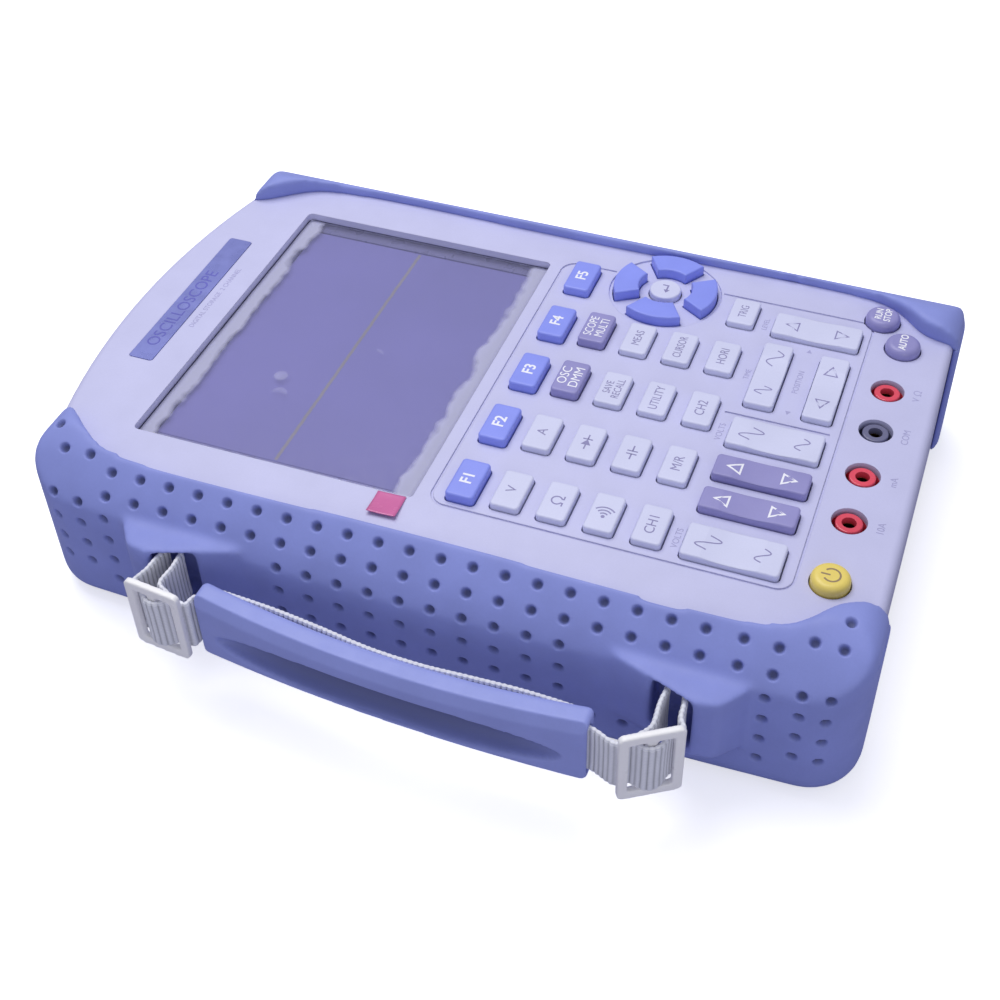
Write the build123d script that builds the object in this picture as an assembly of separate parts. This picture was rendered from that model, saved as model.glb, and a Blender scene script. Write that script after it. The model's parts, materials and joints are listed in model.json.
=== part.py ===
from build123d import *

import math
import os

# Handheld digital storage oscilloscope lying on its back. Millimetres.
# +Z is out of the face, +Y is towards the display end, +X is the user's right.
# Shapes are drawn about the middle of the case, on the surface the device rests on.
# On saving they move by SHIFT_X, which puts the origin under the middle of the whole
# device, handle included.

SHIFT_X = 12.785

# Case
LENGTH = 245.0
FACE_Z = 45.8            # flat face of the front shell
PLATE = 2.4              # wall and face thickness of both shells
PLATE_Z = FACE_Z - PLATE
SPLIT_Z = 36.0           # joint between the two shells
BACK_Z = 2.5             # rear face of the case, inside the bumper lips
CASE_X = 78.5            # half width of the case under the bumpers
CASE_LOW_Y = -120.5
CASE_TOP_Y = 122.5
CASE_BROW_R = 230.0      # bowed display end
CASE_CORNER_R = 14.0
EDGE_R = 2.4

# Bumpers
BUMPER_X = 82.7          # half width at the ends
BUMPER_BOW = 2.5         # extra half width in the middle
BUMPER_LOW_Y = -122.5
BUMPER_TOP_Y = 114.4
BUMPER_CORNER_R = 15.0
RAIL_Z = 49.6            # top of the side rails
EAR_Z = 51.9             # top of the four corner ears
RAIL_R = 8.5             # rounding along the upper outer edge
FOOT_R = 7.0             # rounding along the lower outer edge
EAR_LENGTH = 14.0        # full-height part of an ear, from the end of the bumper
EAR_SLOPE = 26.0
EAR_SINK = 3.0
FIT_GAP = 0.05           # gap between rubber and case
SHOULDER_LINE = [        # section of the sloping rail, as (distance from centre line, Z)
    (58.0, 54.6), (66.0, 51.9), (69.0, 50.6), (72.3, 48.9), (76.5, 45.85), (80.5, 42.2),
    (84.0, 37.5), (86.8, 31.0),
]
BEVEL_X = 72.6           # where the case starts to slope under the rails
BEVEL_FALL = 0.73
LIP_LINE = [             # inner edge of a bumper, as (distance from centre line, Y)
    (57.2, -126.0), (57.2, -115.5), (59.4, -110.2), (64.6, -104.8), (69.0, -98.5),
    (71.2, -88.0), (71.4, -40.0), (71.4, 40.0), (70.6, 86.0), (68.4, 96.0),
    (63.4, 103.4), (58.6, 109.6), (56.2, 114.6), (55.8, 125.0),
]

# Display
WINDOW = (-56.6, 56.6, 7.1, 92.4)
LENS_MARGIN = 2.2
LENS_Z = (42.2, 43.35)
MODULE = (-66.0, 66.0, 1.5, 100.0)
MODULE_Z = (34.4, 42.1)
FILM_T = 0.2
TAB = (-65.6, -58.6, 8.4, 16.6)

NAMEPLATE = (-29.0, 35.0, 102.5, 110.4)
NAMEPLATE_Z = (45.4, 46.0)

# Keypad
KEYPAD = (-56.6, 59.4, -96.9, 3.2)
KEYPAD_R = 5.0
GROOVE_W = 0.7
GROOVE_D = 0.4
KEY_GAP = 0.35           # clearance round every key in its hole
KEY_TRAVEL = 1.2
FLANGE = 0.9             # how far a key's retaining flange reaches past its cap
FLANGE_Z = (41.0, 42.4)
PLUNGER_Z = 35.5
WHITE_TOP = FACE_Z + 2.0
BLUE_TOP = FACE_Z + 2.8
DARK_TOP = FACE_Z + 2.6
ROCK_ANGLE = 3.0
ROCK_Z = 42.0

FKEY_X = -46.9
FKEY_PITCH = 24.25
FKEY_Y = -5.5
FKEY_SIZE = (14.6, 8.2)
KEY_X = -46.3
KEY_PITCH = 24.4
KEY_SIZE = (14.0, 8.2)
KEY_ROWS = (-17.9, -30.9, -44.0, -57.1)
KEY_NAMES = (
    ("key_volts", "key_amps", "key_mode", "key_multi"),
    ("key_ohms", "key_diode", "key_save", "key_measure"),
    ("key_beeper", "key_farads", "key_utility", "key_cursor"),
    ("key_channel_1", "key_math", "key_channel_2", "key_sweep"),
)
TRIGGER_KEY = ("key_trigger", 50.0, -57.6, 12.4, 8.2)
ROCKERS = (
    # name, centre x, centre y, size x, size y, dark
    ("rocker_volts_1", -47.9, -79.5, 12.1, 26.4, False),
    ("rocker_position_1", -32.1, -79.6, 8.3, 26.4, True),
    ("rocker_position_2", -18.8, -79.8, 8.6, 26.4, True),
    ("rocker_volts_2", -3.3, -79.9, 11.7, 26.4, False),
    ("rocker_time", 23.6, -71.7, 28.8, 8.6, False),
    ("rocker_trace", 23.0, -88.8, 28.6, 8.6, False),
    ("rocker_level", 48.1, -80.7, 10.4, 26.4, False),
)
GROUP_GROOVE_X = 5.0
GROUP_GROOVE_Y = (-63.4, -93.6)

# Cursor pad
PAD_X = 53.6
PAD_Y = -31.6
PAD_R = 17.6
PAD_DEPTH = 0.5
ARC_R = (8.4, 16.2)
ARC_HALF_ANGLE = 32.0
ENTER_R = 4.9
ARC_NAMES = ("key_right", "key_up", "key_left", "key_down")

# Round keys
ROUND_R = 5.2
ROUND_KEYS = (
    ("key_run", 61.2, -98.3),
    ("key_auto", 49.9, -106.3),
    ("key_power", -49.6, -105.2),
)
ROUND_TOP = FACE_Z + 3.0

# Test-lead jacks
JACK_X = (-26.2, -7.6, 11.4, 29.7)
JACK_Y = -105.5
JACK_HOLE_R = 4.87
JACK_SLEEVE_R = 3.7
JACK_BODY_R = 6.2
JACK_Z = (22.0, 43.35)
SLEEVE_TOP = 45.2
CONTACT_R = 2.6
PLUG_R = 2.0
CONTACT_Z = (25.0, 43.0)
COMMON_JACK = 2

# Boards and battery
BOARD = (-66.5, 66.5, -113.0, 104.0)
BOARD_Z = (31.5, 33.1)
JACK_NOTCH = (-35.0, 38.5, -120.0, -97.5)
SHIELD = (-48.0, 6.0, 20.0, 92.0)
SHIELD_H = 5.5
TRANSFORMER = (20.0, 50.0, 30.0, 62.0)
TRANSFORMER_H = 9.0
FUSES = (-33.0, 1.0, -97.0, -95.6)
FUSES_H = 1.0
MAT = (-64.5, 66.8, -112.6, 0.6)
MAT_Z = (33.15, 34.2)
BATTERY = (-35.0, 35.0, -94.0, -18.0)
BATTERY_Z = (6.4, 24.4)

# Rear face
DOOR = (-39.0, 39.0, -98.0, -14.0)
DOOR_GAP = 0.3
DOOR_LEDGE = 2.5
STAND_X = 46.0
STAND_FREE_Y = 14.0
STAND_HINGE_Y = 92.0
STAND_Z = (1.5, 4.1)
STAND_PIN_R = 1.5
STAND_PIN_Z = 2.8
BOSS_X = 71.3
BOSS_Y = (-104.0, 0.0, 92.0)
BOSS_R = 3.8
SCREW_R = 1.5
SCREW_HEAD_R = 2.8
SCREW_ACCESS_R = 3.4     # opening in a bumper's rear lip over each screw

# Connector bay in the display end
BAY_X = 56.0
BAY_WALL_Y = 108.6
BAY_Z = (7.4, 33.6)
BNC_X = (-36.0, -8.0)
BNC_Z = 20.5
BNC_R = 4.8
BNC_TIP_Y = 120.2
COVER = (14.0, 48.0)
COVER_Z = (13.6, 29.0)
COVER_HINGE_Y = 110.3
COVER_HINGE_Z = 12.0
COVER_BARREL_R = 1.5

# Carrying handle on the left bumper
HANDLE_Z = 28.8
HANDLE_Y = -6.5          # middle of the handle and its two anchor horns
WEB_W = 17.0
WEB_T = 1.3
HORN_X = 93.0
HORN_ROOT_H = 26.2
HORN_TOP = 10.4          # height of the horn top over the handle, where it leaves the side
HORN_TIP_H = 21.4
HORN_TIP_Y = 52.0        # distance of the horn's low end from HANDLE_Y
HORN_SLOT_Y = (63.4, 75.0)
HORN_END_Y = 87.0
HORN_CREST_R = 3.0
SLOT_H = 18.6
GRIP_ENDS = ((-99.8, 49.0), (-105.2, -60.0))
GRIP_BOW = 3.6
GRIP_T = 7.2
GRIP_H = 22.4
GRIP_WAIST = 18.8
BUCKLE_W = 24.0
BUCKLE_L = 16.6
BUCKLE_T = 2.0
SCOOP_R = 356.0           # sweep of the finger hollow
SCOOP_HALF = 5.0
SCOOP_X = -109.4
SCOOP_Y = 1.0
SCOOP_DROP = 3.2
BUCKLES = ((-104.5, 59.8, -6.0), (-105.5, -75.2, 32.0))   # x, y, turn from Y


def block(limits, z_low, z_high):
    """Box from (x0, x1, y0, y1) and two heights."""
    x0, x1, y0, y1 = limits
    size = Box(x1 - x0, y1 - y0, z_high - z_low)
    return Pos((x0 + x1) / 2, (y0 + y1) / 2, (z_low + z_high) / 2) * size


def prism(sketch, z_low, z_high):
    """Plan outline raised between two heights."""
    return Pos(0, 0, z_low) * extrude(sketch, amount=z_high - z_low)


def post(x, y, radius, z_low, z_high):
    """Upright cylinder."""
    return Pos(x, y, (z_low + z_high) / 2) * Cylinder(radius, z_high - z_low)


def level_rod(x, y, z, radius, length, turn):
    """Cylinder lying along X (turn "x") or Y (turn "y"), centred on the point."""
    spin = Rot(0, 90, 0) if turn == "x" else Rot(90, 0, 0)
    return Pos(x, y, z) * spin * Cylinder(radius, length)


def case_plan():
    """Outline of the case seen from the face."""
    side_y = CASE_TOP_Y - CASE_BROW_R + math.sqrt(CASE_BROW_R ** 2 - CASE_X ** 2)
    low_left = (-CASE_X, CASE_LOW_Y)
    low_right = (CASE_X, CASE_LOW_Y)
    brow = ThreePointArc((CASE_X, side_y), (0, CASE_TOP_Y), (-CASE_X, side_y))
    sides = Polyline((-CASE_X, side_y), low_left, low_right, (CASE_X, side_y))
    outline = make_face(sides + brow)
    return fillet(outline.vertices(), CASE_CORNER_R)


def bevel_cuts(shift):
    """Space above the slopes along both long sides of the case."""
    far = CASE_X + 5
    cuts = []
    for side in (-1, 1):
        outline = Polyline(
            (side * BEVEL_X, FACE_Z + shift), (side * BEVEL_X, FACE_Z + 6),
            (side * far, FACE_Z + 6), (side * far, FACE_Z + shift - BEVEL_FALL * (far - BEVEL_X)),
            (side * BEVEL_X, FACE_Z + shift),
        )
        cuts.append(extrude(Plane.XZ * make_face(outline), amount=160, both=True))
    return cuts


def case_block(gap=0.0, z_low=BACK_Z, z_high=FACE_Z):
    """Solid envelope of the case, grown by a gap."""
    plan = offset(case_plan(), amount=gap) if gap else case_plan()
    body = prism(plan, z_low - gap, z_high + gap)
    return body - bevel_cuts(gap * 1.2) if z_high > SPLIT_Z else body


def shell_hollow(z_low, z_high):
    """Space inside the case walls."""
    body = prism(offset(case_plan(), amount=-PLATE), z_low, z_high)
    return body - bevel_cuts(-1.25 * PLATE) if z_high > SPLIT_Z + 2 else body


def round_case_edges(solid, height, radius):
    """Rounds the rim that lies in one horizontal plane."""
    rim = [e for e in solid.edges() if abs(e.center().Z - height) < 0.01]
    return fillet(rim, radius)


def key_plan(width, depth, radius=1.2):
    return RectangleRounded(width, depth, radius)


def arc_plan(grow=0.0):
    """Outline of one cursor key, on the +X side of the pad."""
    r0 = ARC_R[0] - grow
    r1 = ARC_R[1] + grow
    half = math.radians(ARC_HALF_ANGLE) + grow / r1
    inner_half = math.radians(ARC_HALF_ANGLE) + grow / r0

    def at(radius, angle):
        return (radius * math.cos(angle), radius * math.sin(angle))

    outer = ThreePointArc(at(r1, -half), (r1, 0), at(r1, half))
    inner = ThreePointArc(at(r0, inner_half), (r0, 0), at(r0, -inner_half))
    ends = Line(at(r1, half), at(r0, inner_half)) + Line(at(r0, -inner_half), at(r1, -half))
    return make_face(outer + inner + ends)


def grown(plan, amount):
    return offset(plan, amount=amount)


def key_solid(plan, top, soften):
    """Cap, retaining flange and plunger of one key, centred on the origin."""
    cap = prism(plan, FLANGE_Z[0] + 0.2, top)
    cap = round_case_edges(cap, top, soften)
    flange = prism(grown(plan, FLANGE), *FLANGE_Z)
    return cap + flange


def key_layout():
    """Every sliding key as (name, x, y, plan, top, edge rounding)."""
    keys = []
    for i in range(5):
        name = f"key_f{i + 1}"
        x = FKEY_X + i * FKEY_PITCH
        keys.append((name, x, FKEY_Y, key_plan(*FKEY_SIZE), BLUE_TOP, 0.7))
    for names, y in zip(KEY_NAMES, KEY_ROWS):
        for i, name in enumerate(names):
            dark = name in ("key_mode", "key_multi")
            top = BLUE_TOP if dark else WHITE_TOP
            keys.append((name, KEY_X + i * KEY_PITCH, y, key_plan(*KEY_SIZE), top, 0.6))
    name, x, y, width, depth = TRIGGER_KEY
    keys.append((name, x, y, key_plan(width, depth), WHITE_TOP, 0.6))
    for i, name in enumerate(ARC_NAMES):
        plan = Rot(0, 0, 90 * i) * arc_plan()
        keys.append((name, PAD_X, PAD_Y, plan, BLUE_TOP, 0.5))
    keys.append(("key_enter", PAD_X, PAD_Y, Circle(ENTER_R), FACE_Z + 1.6, 0.6))
    for name, x, y in ROUND_KEYS:
        keys.append((name, x, y, Circle(ROUND_R), ROUND_TOP, 1.8))
    return keys


def plunger(x, y, radius=1.6):
    return post(x, y, radius, PLUNGER_Z, FLANGE_Z[0] + 0.5)


def build_key(name, plan, top, soften):
    """One sliding key at the origin, with its plunger under the cap."""
    body = key_solid(plan, top, soften)
    if name in ARC_NAMES:
        angle = math.radians(90 * ARC_NAMES.index(name))
        middle = (ARC_R[0] + ARC_R[1]) / 2
        return body + plunger(middle * math.cos(angle), middle * math.sin(angle))
    return body + plunger(0, 0)


def build_rocker(width, depth, dark):
    """Rocking bar with a shallow saddle across its middle and two plungers."""
    top = DARK_TOP if dark else WHITE_TOP
    body = key_solid(key_plan(width, depth), top, 0.6)
    long_x = width > depth
    span = max(width, depth)
    reach = span / 2 - 4.0
    sag_r = 60.0
    saddle = level_rod(0, 0, top + sag_r - 0.5, sag_r, span + 4, "y" if long_x else "x")
    body = body - saddle
    for side in (-1, 1):
        x = side * reach if long_x else 0
        y = 0 if long_x else side * reach
        body = body + plunger(x, y)
    return body


def key_holes():
    """Every opening in the face that a key stands in."""
    cut = []
    for _, x, y, plan, _, _ in key_layout():
        cut.append(Pos(x, y, 0) * prism(grown(plan, KEY_GAP), PLATE_Z - 1, FACE_Z + 1))
    for _, x, y, width, depth, _ in ROCKERS:
        plan = grown(key_plan(width, depth), KEY_GAP)
        cut.append(Pos(x, y, 0) * prism(plan, PLATE_Z - 1, FACE_Z + 1))
    return cut


def rounded_rect(limits, radius):
    x0, x1, y0, y1 = limits
    return Pos((x0 + x1) / 2, (y0 + y1) / 2) * RectangleRounded(x1 - x0, y1 - y0, radius)


def face_grooves():
    """Fine line round the keypad and the line that sets the time base keys apart."""
    x0, x1, y0, y1 = KEYPAD
    inner = (x0 + GROOVE_W, x1 - GROOVE_W, y0 + GROOVE_W, y1 - GROOVE_W)
    ring = rounded_rect(KEYPAD, KEYPAD_R) - rounded_rect(inner, KEYPAD_R - GROOVE_W)
    ring = prism(ring, FACE_Z - GROOVE_D, FACE_Z + 1)
    pad_edge = post(PAD_X, PAD_Y, PAD_R + 0.8, FACE_Z - 2, FACE_Z + 2)
    bar = (GROUP_GROOVE_X, GROUP_GROOVE_X + GROOVE_W, GROUP_GROOVE_Y[1], GROUP_GROOVE_Y[0])
    bar = block(bar, FACE_Z - GROOVE_D, FACE_Z + 1)
    return (ring - pad_edge) + bar


def bosses(z_low, z_high):
    return [post(s * BOSS_X, y, BOSS_R, z_low, z_high) for s in (-1, 1) for y in BOSS_Y]


def front_shell():
    """Face plate with its rim, window, key holes and jack holes."""
    body = case_block(z_low=SPLIT_Z)
    body = round_case_edges(body, FACE_Z, EDGE_R)
    body = body - shell_hollow(SPLIT_Z - 1, PLATE_Z)
    for boss in bosses(SPLIT_Z, PLATE_Z):
        body = body + boss
    cuts = key_holes()
    cuts.append(prism(rounded_rect(WINDOW, 1.5), PLATE_Z - 1, FACE_Z + 1))
    cuts.append(post(PAD_X, PAD_Y, PAD_R, FACE_Z - PAD_DEPTH, FACE_Z + 1))
    cuts.append(face_grooves())
    cuts.append(prism(rounded_rect(NAMEPLATE, 1.0), NAMEPLATE_Z[0] - 0.02, FACE_Z + 1))
    for x in JACK_X:
        cuts.append(post(x, JACK_Y, JACK_HOLE_R, PLATE_Z - 1, FACE_Z + 1))
    for side in (-1, 1):
        for y in BOSS_Y:
            cuts.append(post(side * BOSS_X, y, SCREW_R + 0.05, SPLIT_Z - 1, 42.0))
    return body - cuts


def stand_pocket():
    """Recess in the rear face that the folded stand lies in."""
    limits = (-STAND_X - 1, STAND_X + 1, STAND_FREE_Y - 1.5, STAND_HINGE_Y + 4)
    return block(limits, BACK_Z - 1, STAND_Z[1] + 0.8)


def rear_shell():
    """Tub with screw bosses, battery opening, stand pocket and connector bay."""
    body = case_block(z_high=SPLIT_Z)
    body = round_case_edges(body, BACK_Z, 1.6)
    body = body - shell_hollow(BACK_Z + PLATE, SPLIT_Z + 1)
    for boss in bosses(BACK_Z, SPLIT_Z):
        body = body + boss
    thick = (-STAND_X - 3, STAND_X + 3, STAND_FREE_Y - 3.5, STAND_HINGE_Y + 6)
    body = body + block(thick, BACK_Z, STAND_Z[1] + 2.6)
    x0, x1, y0, y1 = DOOR
    rim = (x0 - 3, x1 + 3, y0 - 3, y1 + 3)
    body = body + block(rim, BACK_Z, BACK_Z + 3.4)
    bay = (-BAY_X - PLATE, BAY_X + PLATE, BAY_WALL_Y - PLATE, CASE_TOP_Y + 2)
    body = body + (block(bay, BACK_Z, SPLIT_Z) & case_block(z_high=SPLIT_Z))
    cuts = [
        block((-BAY_X, BAY_X, BAY_WALL_Y, CASE_TOP_Y + 3), *BAY_Z),
        stand_pocket(),
        block(DOOR, BACK_Z - 1, BACK_Z + 2.0),
        block((x0 + DOOR_LEDGE, x1 - DOOR_LEDGE, y0 + DOOR_LEDGE, y1 - DOOR_LEDGE),
              BACK_Z - 1, BACK_Z + 6),
    ]
    for side in (-1, 1):
        for y in BOSS_Y:
            cuts.append(post(side * BOSS_X, y, SCREW_R + 0.05, BACK_Z - 1, SPLIT_Z + 1))
            cuts.append(post(side * BOSS_X, y, SCREW_HEAD_R + 0.3, BACK_Z - 1, BACK_Z + 3.4))
    for x in BNC_X:
        cuts.append(level_rod(x, BAY_WALL_Y, BNC_Z, 4.95, 8, "y"))
    cuts.append(block((COVER[0] + 3, COVER[1] - 3, BAY_WALL_Y - 4, BAY_WALL_Y + 1),
                      COVER_Z[0] + 1.6, COVER_Z[1] - 2.4))
    body = body - cuts
    for side in (-1, 1):
        x = side * (STAND_X + 1.6)
        limits = (x - 1.4, x + 1.4, STAND_HINGE_Y - 3, STAND_HINGE_Y + 3)
        body = body + block(limits, 0.6, STAND_Z[1] + 1.4)
        reach = STAND_PIN_R + 0.05
        body = body - level_rod(x, STAND_HINGE_Y, STAND_PIN_Z, reach, 3.4, "x")
    return body + cover_lugs()


def cover_lugs():
    """Two pegs in the connector bay that the port cover turns on."""
    pegs = []
    for side, x in ((-1, COVER[0] - 0.2), (1, COVER[1] + 0.2)):
        limits = (x, x + side * 2.0) if side > 0 else (x + side * 2.0, x)
        lug = block((*limits, BAY_WALL_Y - 0.2, COVER_HINGE_Y + 1.6),
                    COVER_HINGE_Z - 1.6, COVER_HINGE_Z + 1.6)
        peg = level_rod(x - side * 1.0, COVER_HINGE_Y, COVER_HINGE_Z, 0.8, 2.4, "x")
        pegs.append(lug + peg)
    return pegs[0] + pegs[1]


def port_cover():
    """Rubber flap over the data and power sockets, hinged along its lower edge."""
    x0, x1 = COVER
    z0, z1 = COVER_Z
    flap = block((x0, x1, BAY_WALL_Y + 0.4, BAY_WALL_Y + 2.6), z0 - 1.2, z1)
    plug = block((x0 + 4, x1 - 4, BAY_WALL_Y - 1.0, BAY_WALL_Y + 1), z0 + 3.2, z1 - 3.6)
    tab = block((x0 + 13, x1 - 13, BAY_WALL_Y + 0.4, BAY_WALL_Y + 2.6), z1 - 0.5, z1 + 2.2)
    middle = (x0 + x1) / 2
    length = x1 - x0
    barrel = level_rod(middle, COVER_HINGE_Y, COVER_HINGE_Z, COVER_BARREL_R, length, "x")
    bore = level_rod(middle, COVER_HINGE_Y, COVER_HINGE_Z, 0.85, length + 2, "x")
    web = block((x0, x1, COVER_HINGE_Y - 1.3, COVER_HINGE_Y + 0.9), COVER_HINGE_Z, z0 - 1)
    return flap + plug + tab + web + barrel - bore


def port_sockets():
    """Two data sockets and one round power inlet behind the flap."""
    back = BAY_WALL_Y - PLATE
    solids = []
    for x, width, height in ((22.0, 8.0, 5.6), (32.0, 7.0, 5.6)):
        body = block((x - width / 2, x + width / 2, back - 14, back - 0.1), 18.6, 18.6 + height)
        mouth = block((x - width / 2 + 0.7, x + width / 2 - 0.7, back - 9, back + 1),
                      19.3, 17.9 + height)
        solids.append(body - mouth)
    inlet = level_rod(41.0, back - 6.1, 21.4, 3.6, 12, "y")
    inlet = inlet - level_rod(41.0, back - 3, 21.4, 2.6, 8, "y")
    pin = level_rod(41.0, back - 6.5, 21.4, 0.8, 9, "y")
    solids.append(inlet + pin)
    return Compound(children=solids)


def bnc_connectors():
    """Two coaxial input jacks with bayonet lugs and a centre contact."""
    solids = []
    wall = BAY_WALL_Y
    for x in BNC_X:
        tip = BNC_TIP_Y
        barrel = level_rod(x, (wall - 3 + tip) / 2, BNC_Z, BNC_R, tip - wall + 3, "y")
        flange = level_rod(x, wall + 0.8, BNC_Z, 6.4, 1.5, "y")
        body = block((x - 7, x + 7, wall - 13, wall - PLATE - 0.05), BNC_Z - 7, BNC_Z + 7)
        cavity = level_rod(x, tip, BNC_Z, 4.0, 18, "y")
        dielectric = level_rod(x, (wall + tip) / 2 - 2.5, BNC_Z, 2.2, tip - wall - 2, "y")
        contact = level_rod(x, (wall + tip) / 2 - 2.5, BNC_Z, 0.7, tip - wall + 2, "y")
        lugs = Pos(x, tip - 5.5, BNC_Z) * Cylinder(1.0, 2 * BNC_R + 2.2)
        shell = barrel + flange + body + lugs - cavity
        solids.append(shell + dielectric - contact)
    return Compound(children=solids)


def jack_body(x):
    """Insulated shrouded jack: outer cup, annular well and inner sleeve."""
    body = post(x, JACK_Y, JACK_BODY_R, *JACK_Z)
    well = post(x, JACK_Y, JACK_HOLE_R - 0.05, JACK_Z[0] + 4, JACK_Z[1] + 1)
    sleeve = post(x, JACK_Y, JACK_SLEEVE_R, JACK_Z[0], SLEEVE_TOP)
    sleeve = round_case_edges(sleeve, SLEEVE_TOP, 0.4)
    bore = post(x, JACK_Y, CONTACT_R + 0.02, CONTACT_Z[0], CONTACT_Z[1] + 0.02)
    mouth = post(x, JACK_Y, PLUG_R, CONTACT_Z[1] - 1, SLEEVE_TOP + 1)
    return (body - well) + sleeve - bore - mouth


def jack_contact(x):
    tube = post(x, JACK_Y, CONTACT_R, *CONTACT_Z)
    return tube - post(x, JACK_Y, PLUG_R, CONTACT_Z[0] - 1, CONTACT_Z[1] + 1)


def case_screws():
    solids = []
    for side in (-1, 1):
        for y in BOSS_Y:
            x = side * BOSS_X
            head = post(x, y, SCREW_HEAD_R, BACK_Z + 1.4, BACK_Z + 3.38)
            cross = block((x - 1.6, x + 1.6, y - 0.4, y + 0.4), BACK_Z, BACK_Z + 2.4)
            cross = cross + block((x - 0.4, x + 0.4, y - 1.6, y + 1.6), BACK_Z, BACK_Z + 2.4)
            solids.append(head + post(x, y, SCREW_R, BACK_Z + 3.0, 41.5) - cross)
    return Compound(children=solids)


def lens():
    x0, x1, y0, y1 = WINDOW
    m = LENS_MARGIN
    return prism(rounded_rect((x0 - m, x1 + m, y0 - m, y1 + m), 1.5), *LENS_Z)


def lcd_module():
    """Flat panel in its metal frame, with the driver board behind."""
    frame = block(MODULE, MODULE_Z[0] + 2, MODULE_Z[1])
    x0, x1, y0, y1 = MODULE
    glass_well = (WINDOW[0] + 4, WINDOW[1] - 4, WINDOW[2] + 4, WINDOW[3] - 4)
    frame = frame - block(glass_well, MODULE_Z[1] - 0.6, MODULE_Z[1] + 1)
    driver = block((x0 + 8, x1 - 8, y0 + 8, y1 - 8), MODULE_Z[0], MODULE_Z[0] + 2.2)
    return frame + driver


def screen_film():
    """Clear protective sheet on the display with a curled pull tab over the near edge."""
    x0, x1, y0, y1 = WINDOW
    sheet_z = LENS_Z[1] + 0.05
    sheet = block((x0 + 0.3, x1 - 0.4, y0 + 0.4, y1 - 0.4), sheet_z, sheet_z + FILM_T)
    tx0, tx1, ty0, ty1 = TAB
    strip_z = FACE_Z + 0.1
    riser = block((x0 + 0.3, x0 + 0.5, ty0, ty1), sheet_z, strip_z + FILM_T)
    strip = block((tx1 - 0.5, x0 + 0.5, ty0, ty1), strip_z, strip_z + FILM_T)
    low = ((tx1, strip_z), (tx1, strip_z + 0.35))
    high = ((tx0, strip_z + 1.4), (tx0, strip_z + 1.05))
    side = make_face(Polyline(low[0], low[1], high[0], high[1], low[0]))
    tab = Pos(0, ty1, 0) * Rot(90, 0, 0) * extrude(side, amount=ty1 - ty0)
    return sheet + riser + strip + tab


def bumper_plan():
    """Outer outline of both bumpers together."""
    top, low = BUMPER_TOP_Y, BUMPER_LOW_Y
    x = BUMPER_X
    middle = (top + low) / 2
    right = ThreePointArc((x, low), (x + BUMPER_BOW, middle), (x, top))
    left = ThreePointArc((-x, top), (-x - BUMPER_BOW, middle), (-x, low))
    ends = Line((x, top), (-x, top)) + Line((-x, low), (x, low))
    return fillet(make_face(right + ends + left).vertices(), BUMPER_CORNER_R)


def rounded_bumper(height):
    """Both bumpers as one rounded block of even height."""
    body = round_case_edges(prism(bumper_plan(), 0, height), height, RAIL_R)
    return round_case_edges(body, 0.0, FOOT_R)


def ear_zone(end, end_y):
    """Space in which a pair of ears stands above the rails, sloping down to them."""
    start = end_y - end * EAR_LENGTH
    low = end_y - end * (EAR_LENGTH + EAR_SLOPE)
    outline = Polyline(
        (end_y + end * 5, -1), (low, -1), (low, RAIL_Z - EAR_SINK),
        (start, EAR_Z), (end_y + end * 5, EAR_Z + 1), (end_y + end * 5, -1),
    )
    return extrude(Plane.YZ * make_face(outline), amount=CASE_X * 1.5, both=True)


def bumper_block():
    """Low rails with four higher corner ears, before the case is taken out."""
    tall = rounded_bumper(EAR_Z)
    body = rounded_bumper(RAIL_Z)
    body = body + (tall & ear_zone(1, BUMPER_TOP_Y))
    return body + (tall & ear_zone(-1, BUMPER_LOW_Y))


def lip_region(side):
    """Plan region outside the inner edge of one bumper."""
    points = [(side * d, y) for d, y in LIP_LINE]
    edge = Spline(*points)
    far = side * 110
    frame = Polyline(points[-1], (far, points[-1][1]), (far, points[0][1]), points[0])
    return prism(make_face(edge + frame), -5, EAR_Z + 30)


def shoulder_cut(side):
    """Space above the rounded shoulder along one side."""
    points = [(side * d, z) for d, z in SHOULDER_LINE]
    high = RAIL_Z + 12
    frame = Polyline(points[-1], (side * 96, points[-1][1]), (side * 96, high),
                     (points[0][0], high), points[0])
    return extrude(Plane.XZ * make_face(Spline(*points) + frame), amount=160, both=True)


def bumper(side):
    """One rubber side bumper, wrapped over the face and the back of the case."""
    body = (bumper_block() & lip_region(side)) - shoulder_cut(side)
    body = body - case_block(gap=FIT_GAP)
    return body - [post(side * BOSS_X, y, SCREW_ACCESS_R, -1, BACK_Z + 1) for y in BOSS_Y]


def horn_plan(end):
    """Wedge outline of an anchor horn; end is +1 for the display end."""
    def at(depth, reach):
        return (-depth, HANDLE_Y + end * reach)

    root = CASE_X + 1.6
    wall = BUMPER_X + 2.1
    points = [
        at(root, HORN_TIP_Y), at(wall, HORN_TIP_Y), at(HORN_X, HORN_SLOT_Y[1] + 0.4),
        at(HORN_X - 1.2, HORN_SLOT_Y[1] + 6.6), at(wall, HORN_END_Y), at(root, HORN_END_Y + 1.5),
    ]
    plan = make_face(Polyline(*points, points[0]))
    crest = [v for v in plan.vertices() if v.X < -wall - 1]
    return fillet(crest, HORN_CREST_R)


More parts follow.
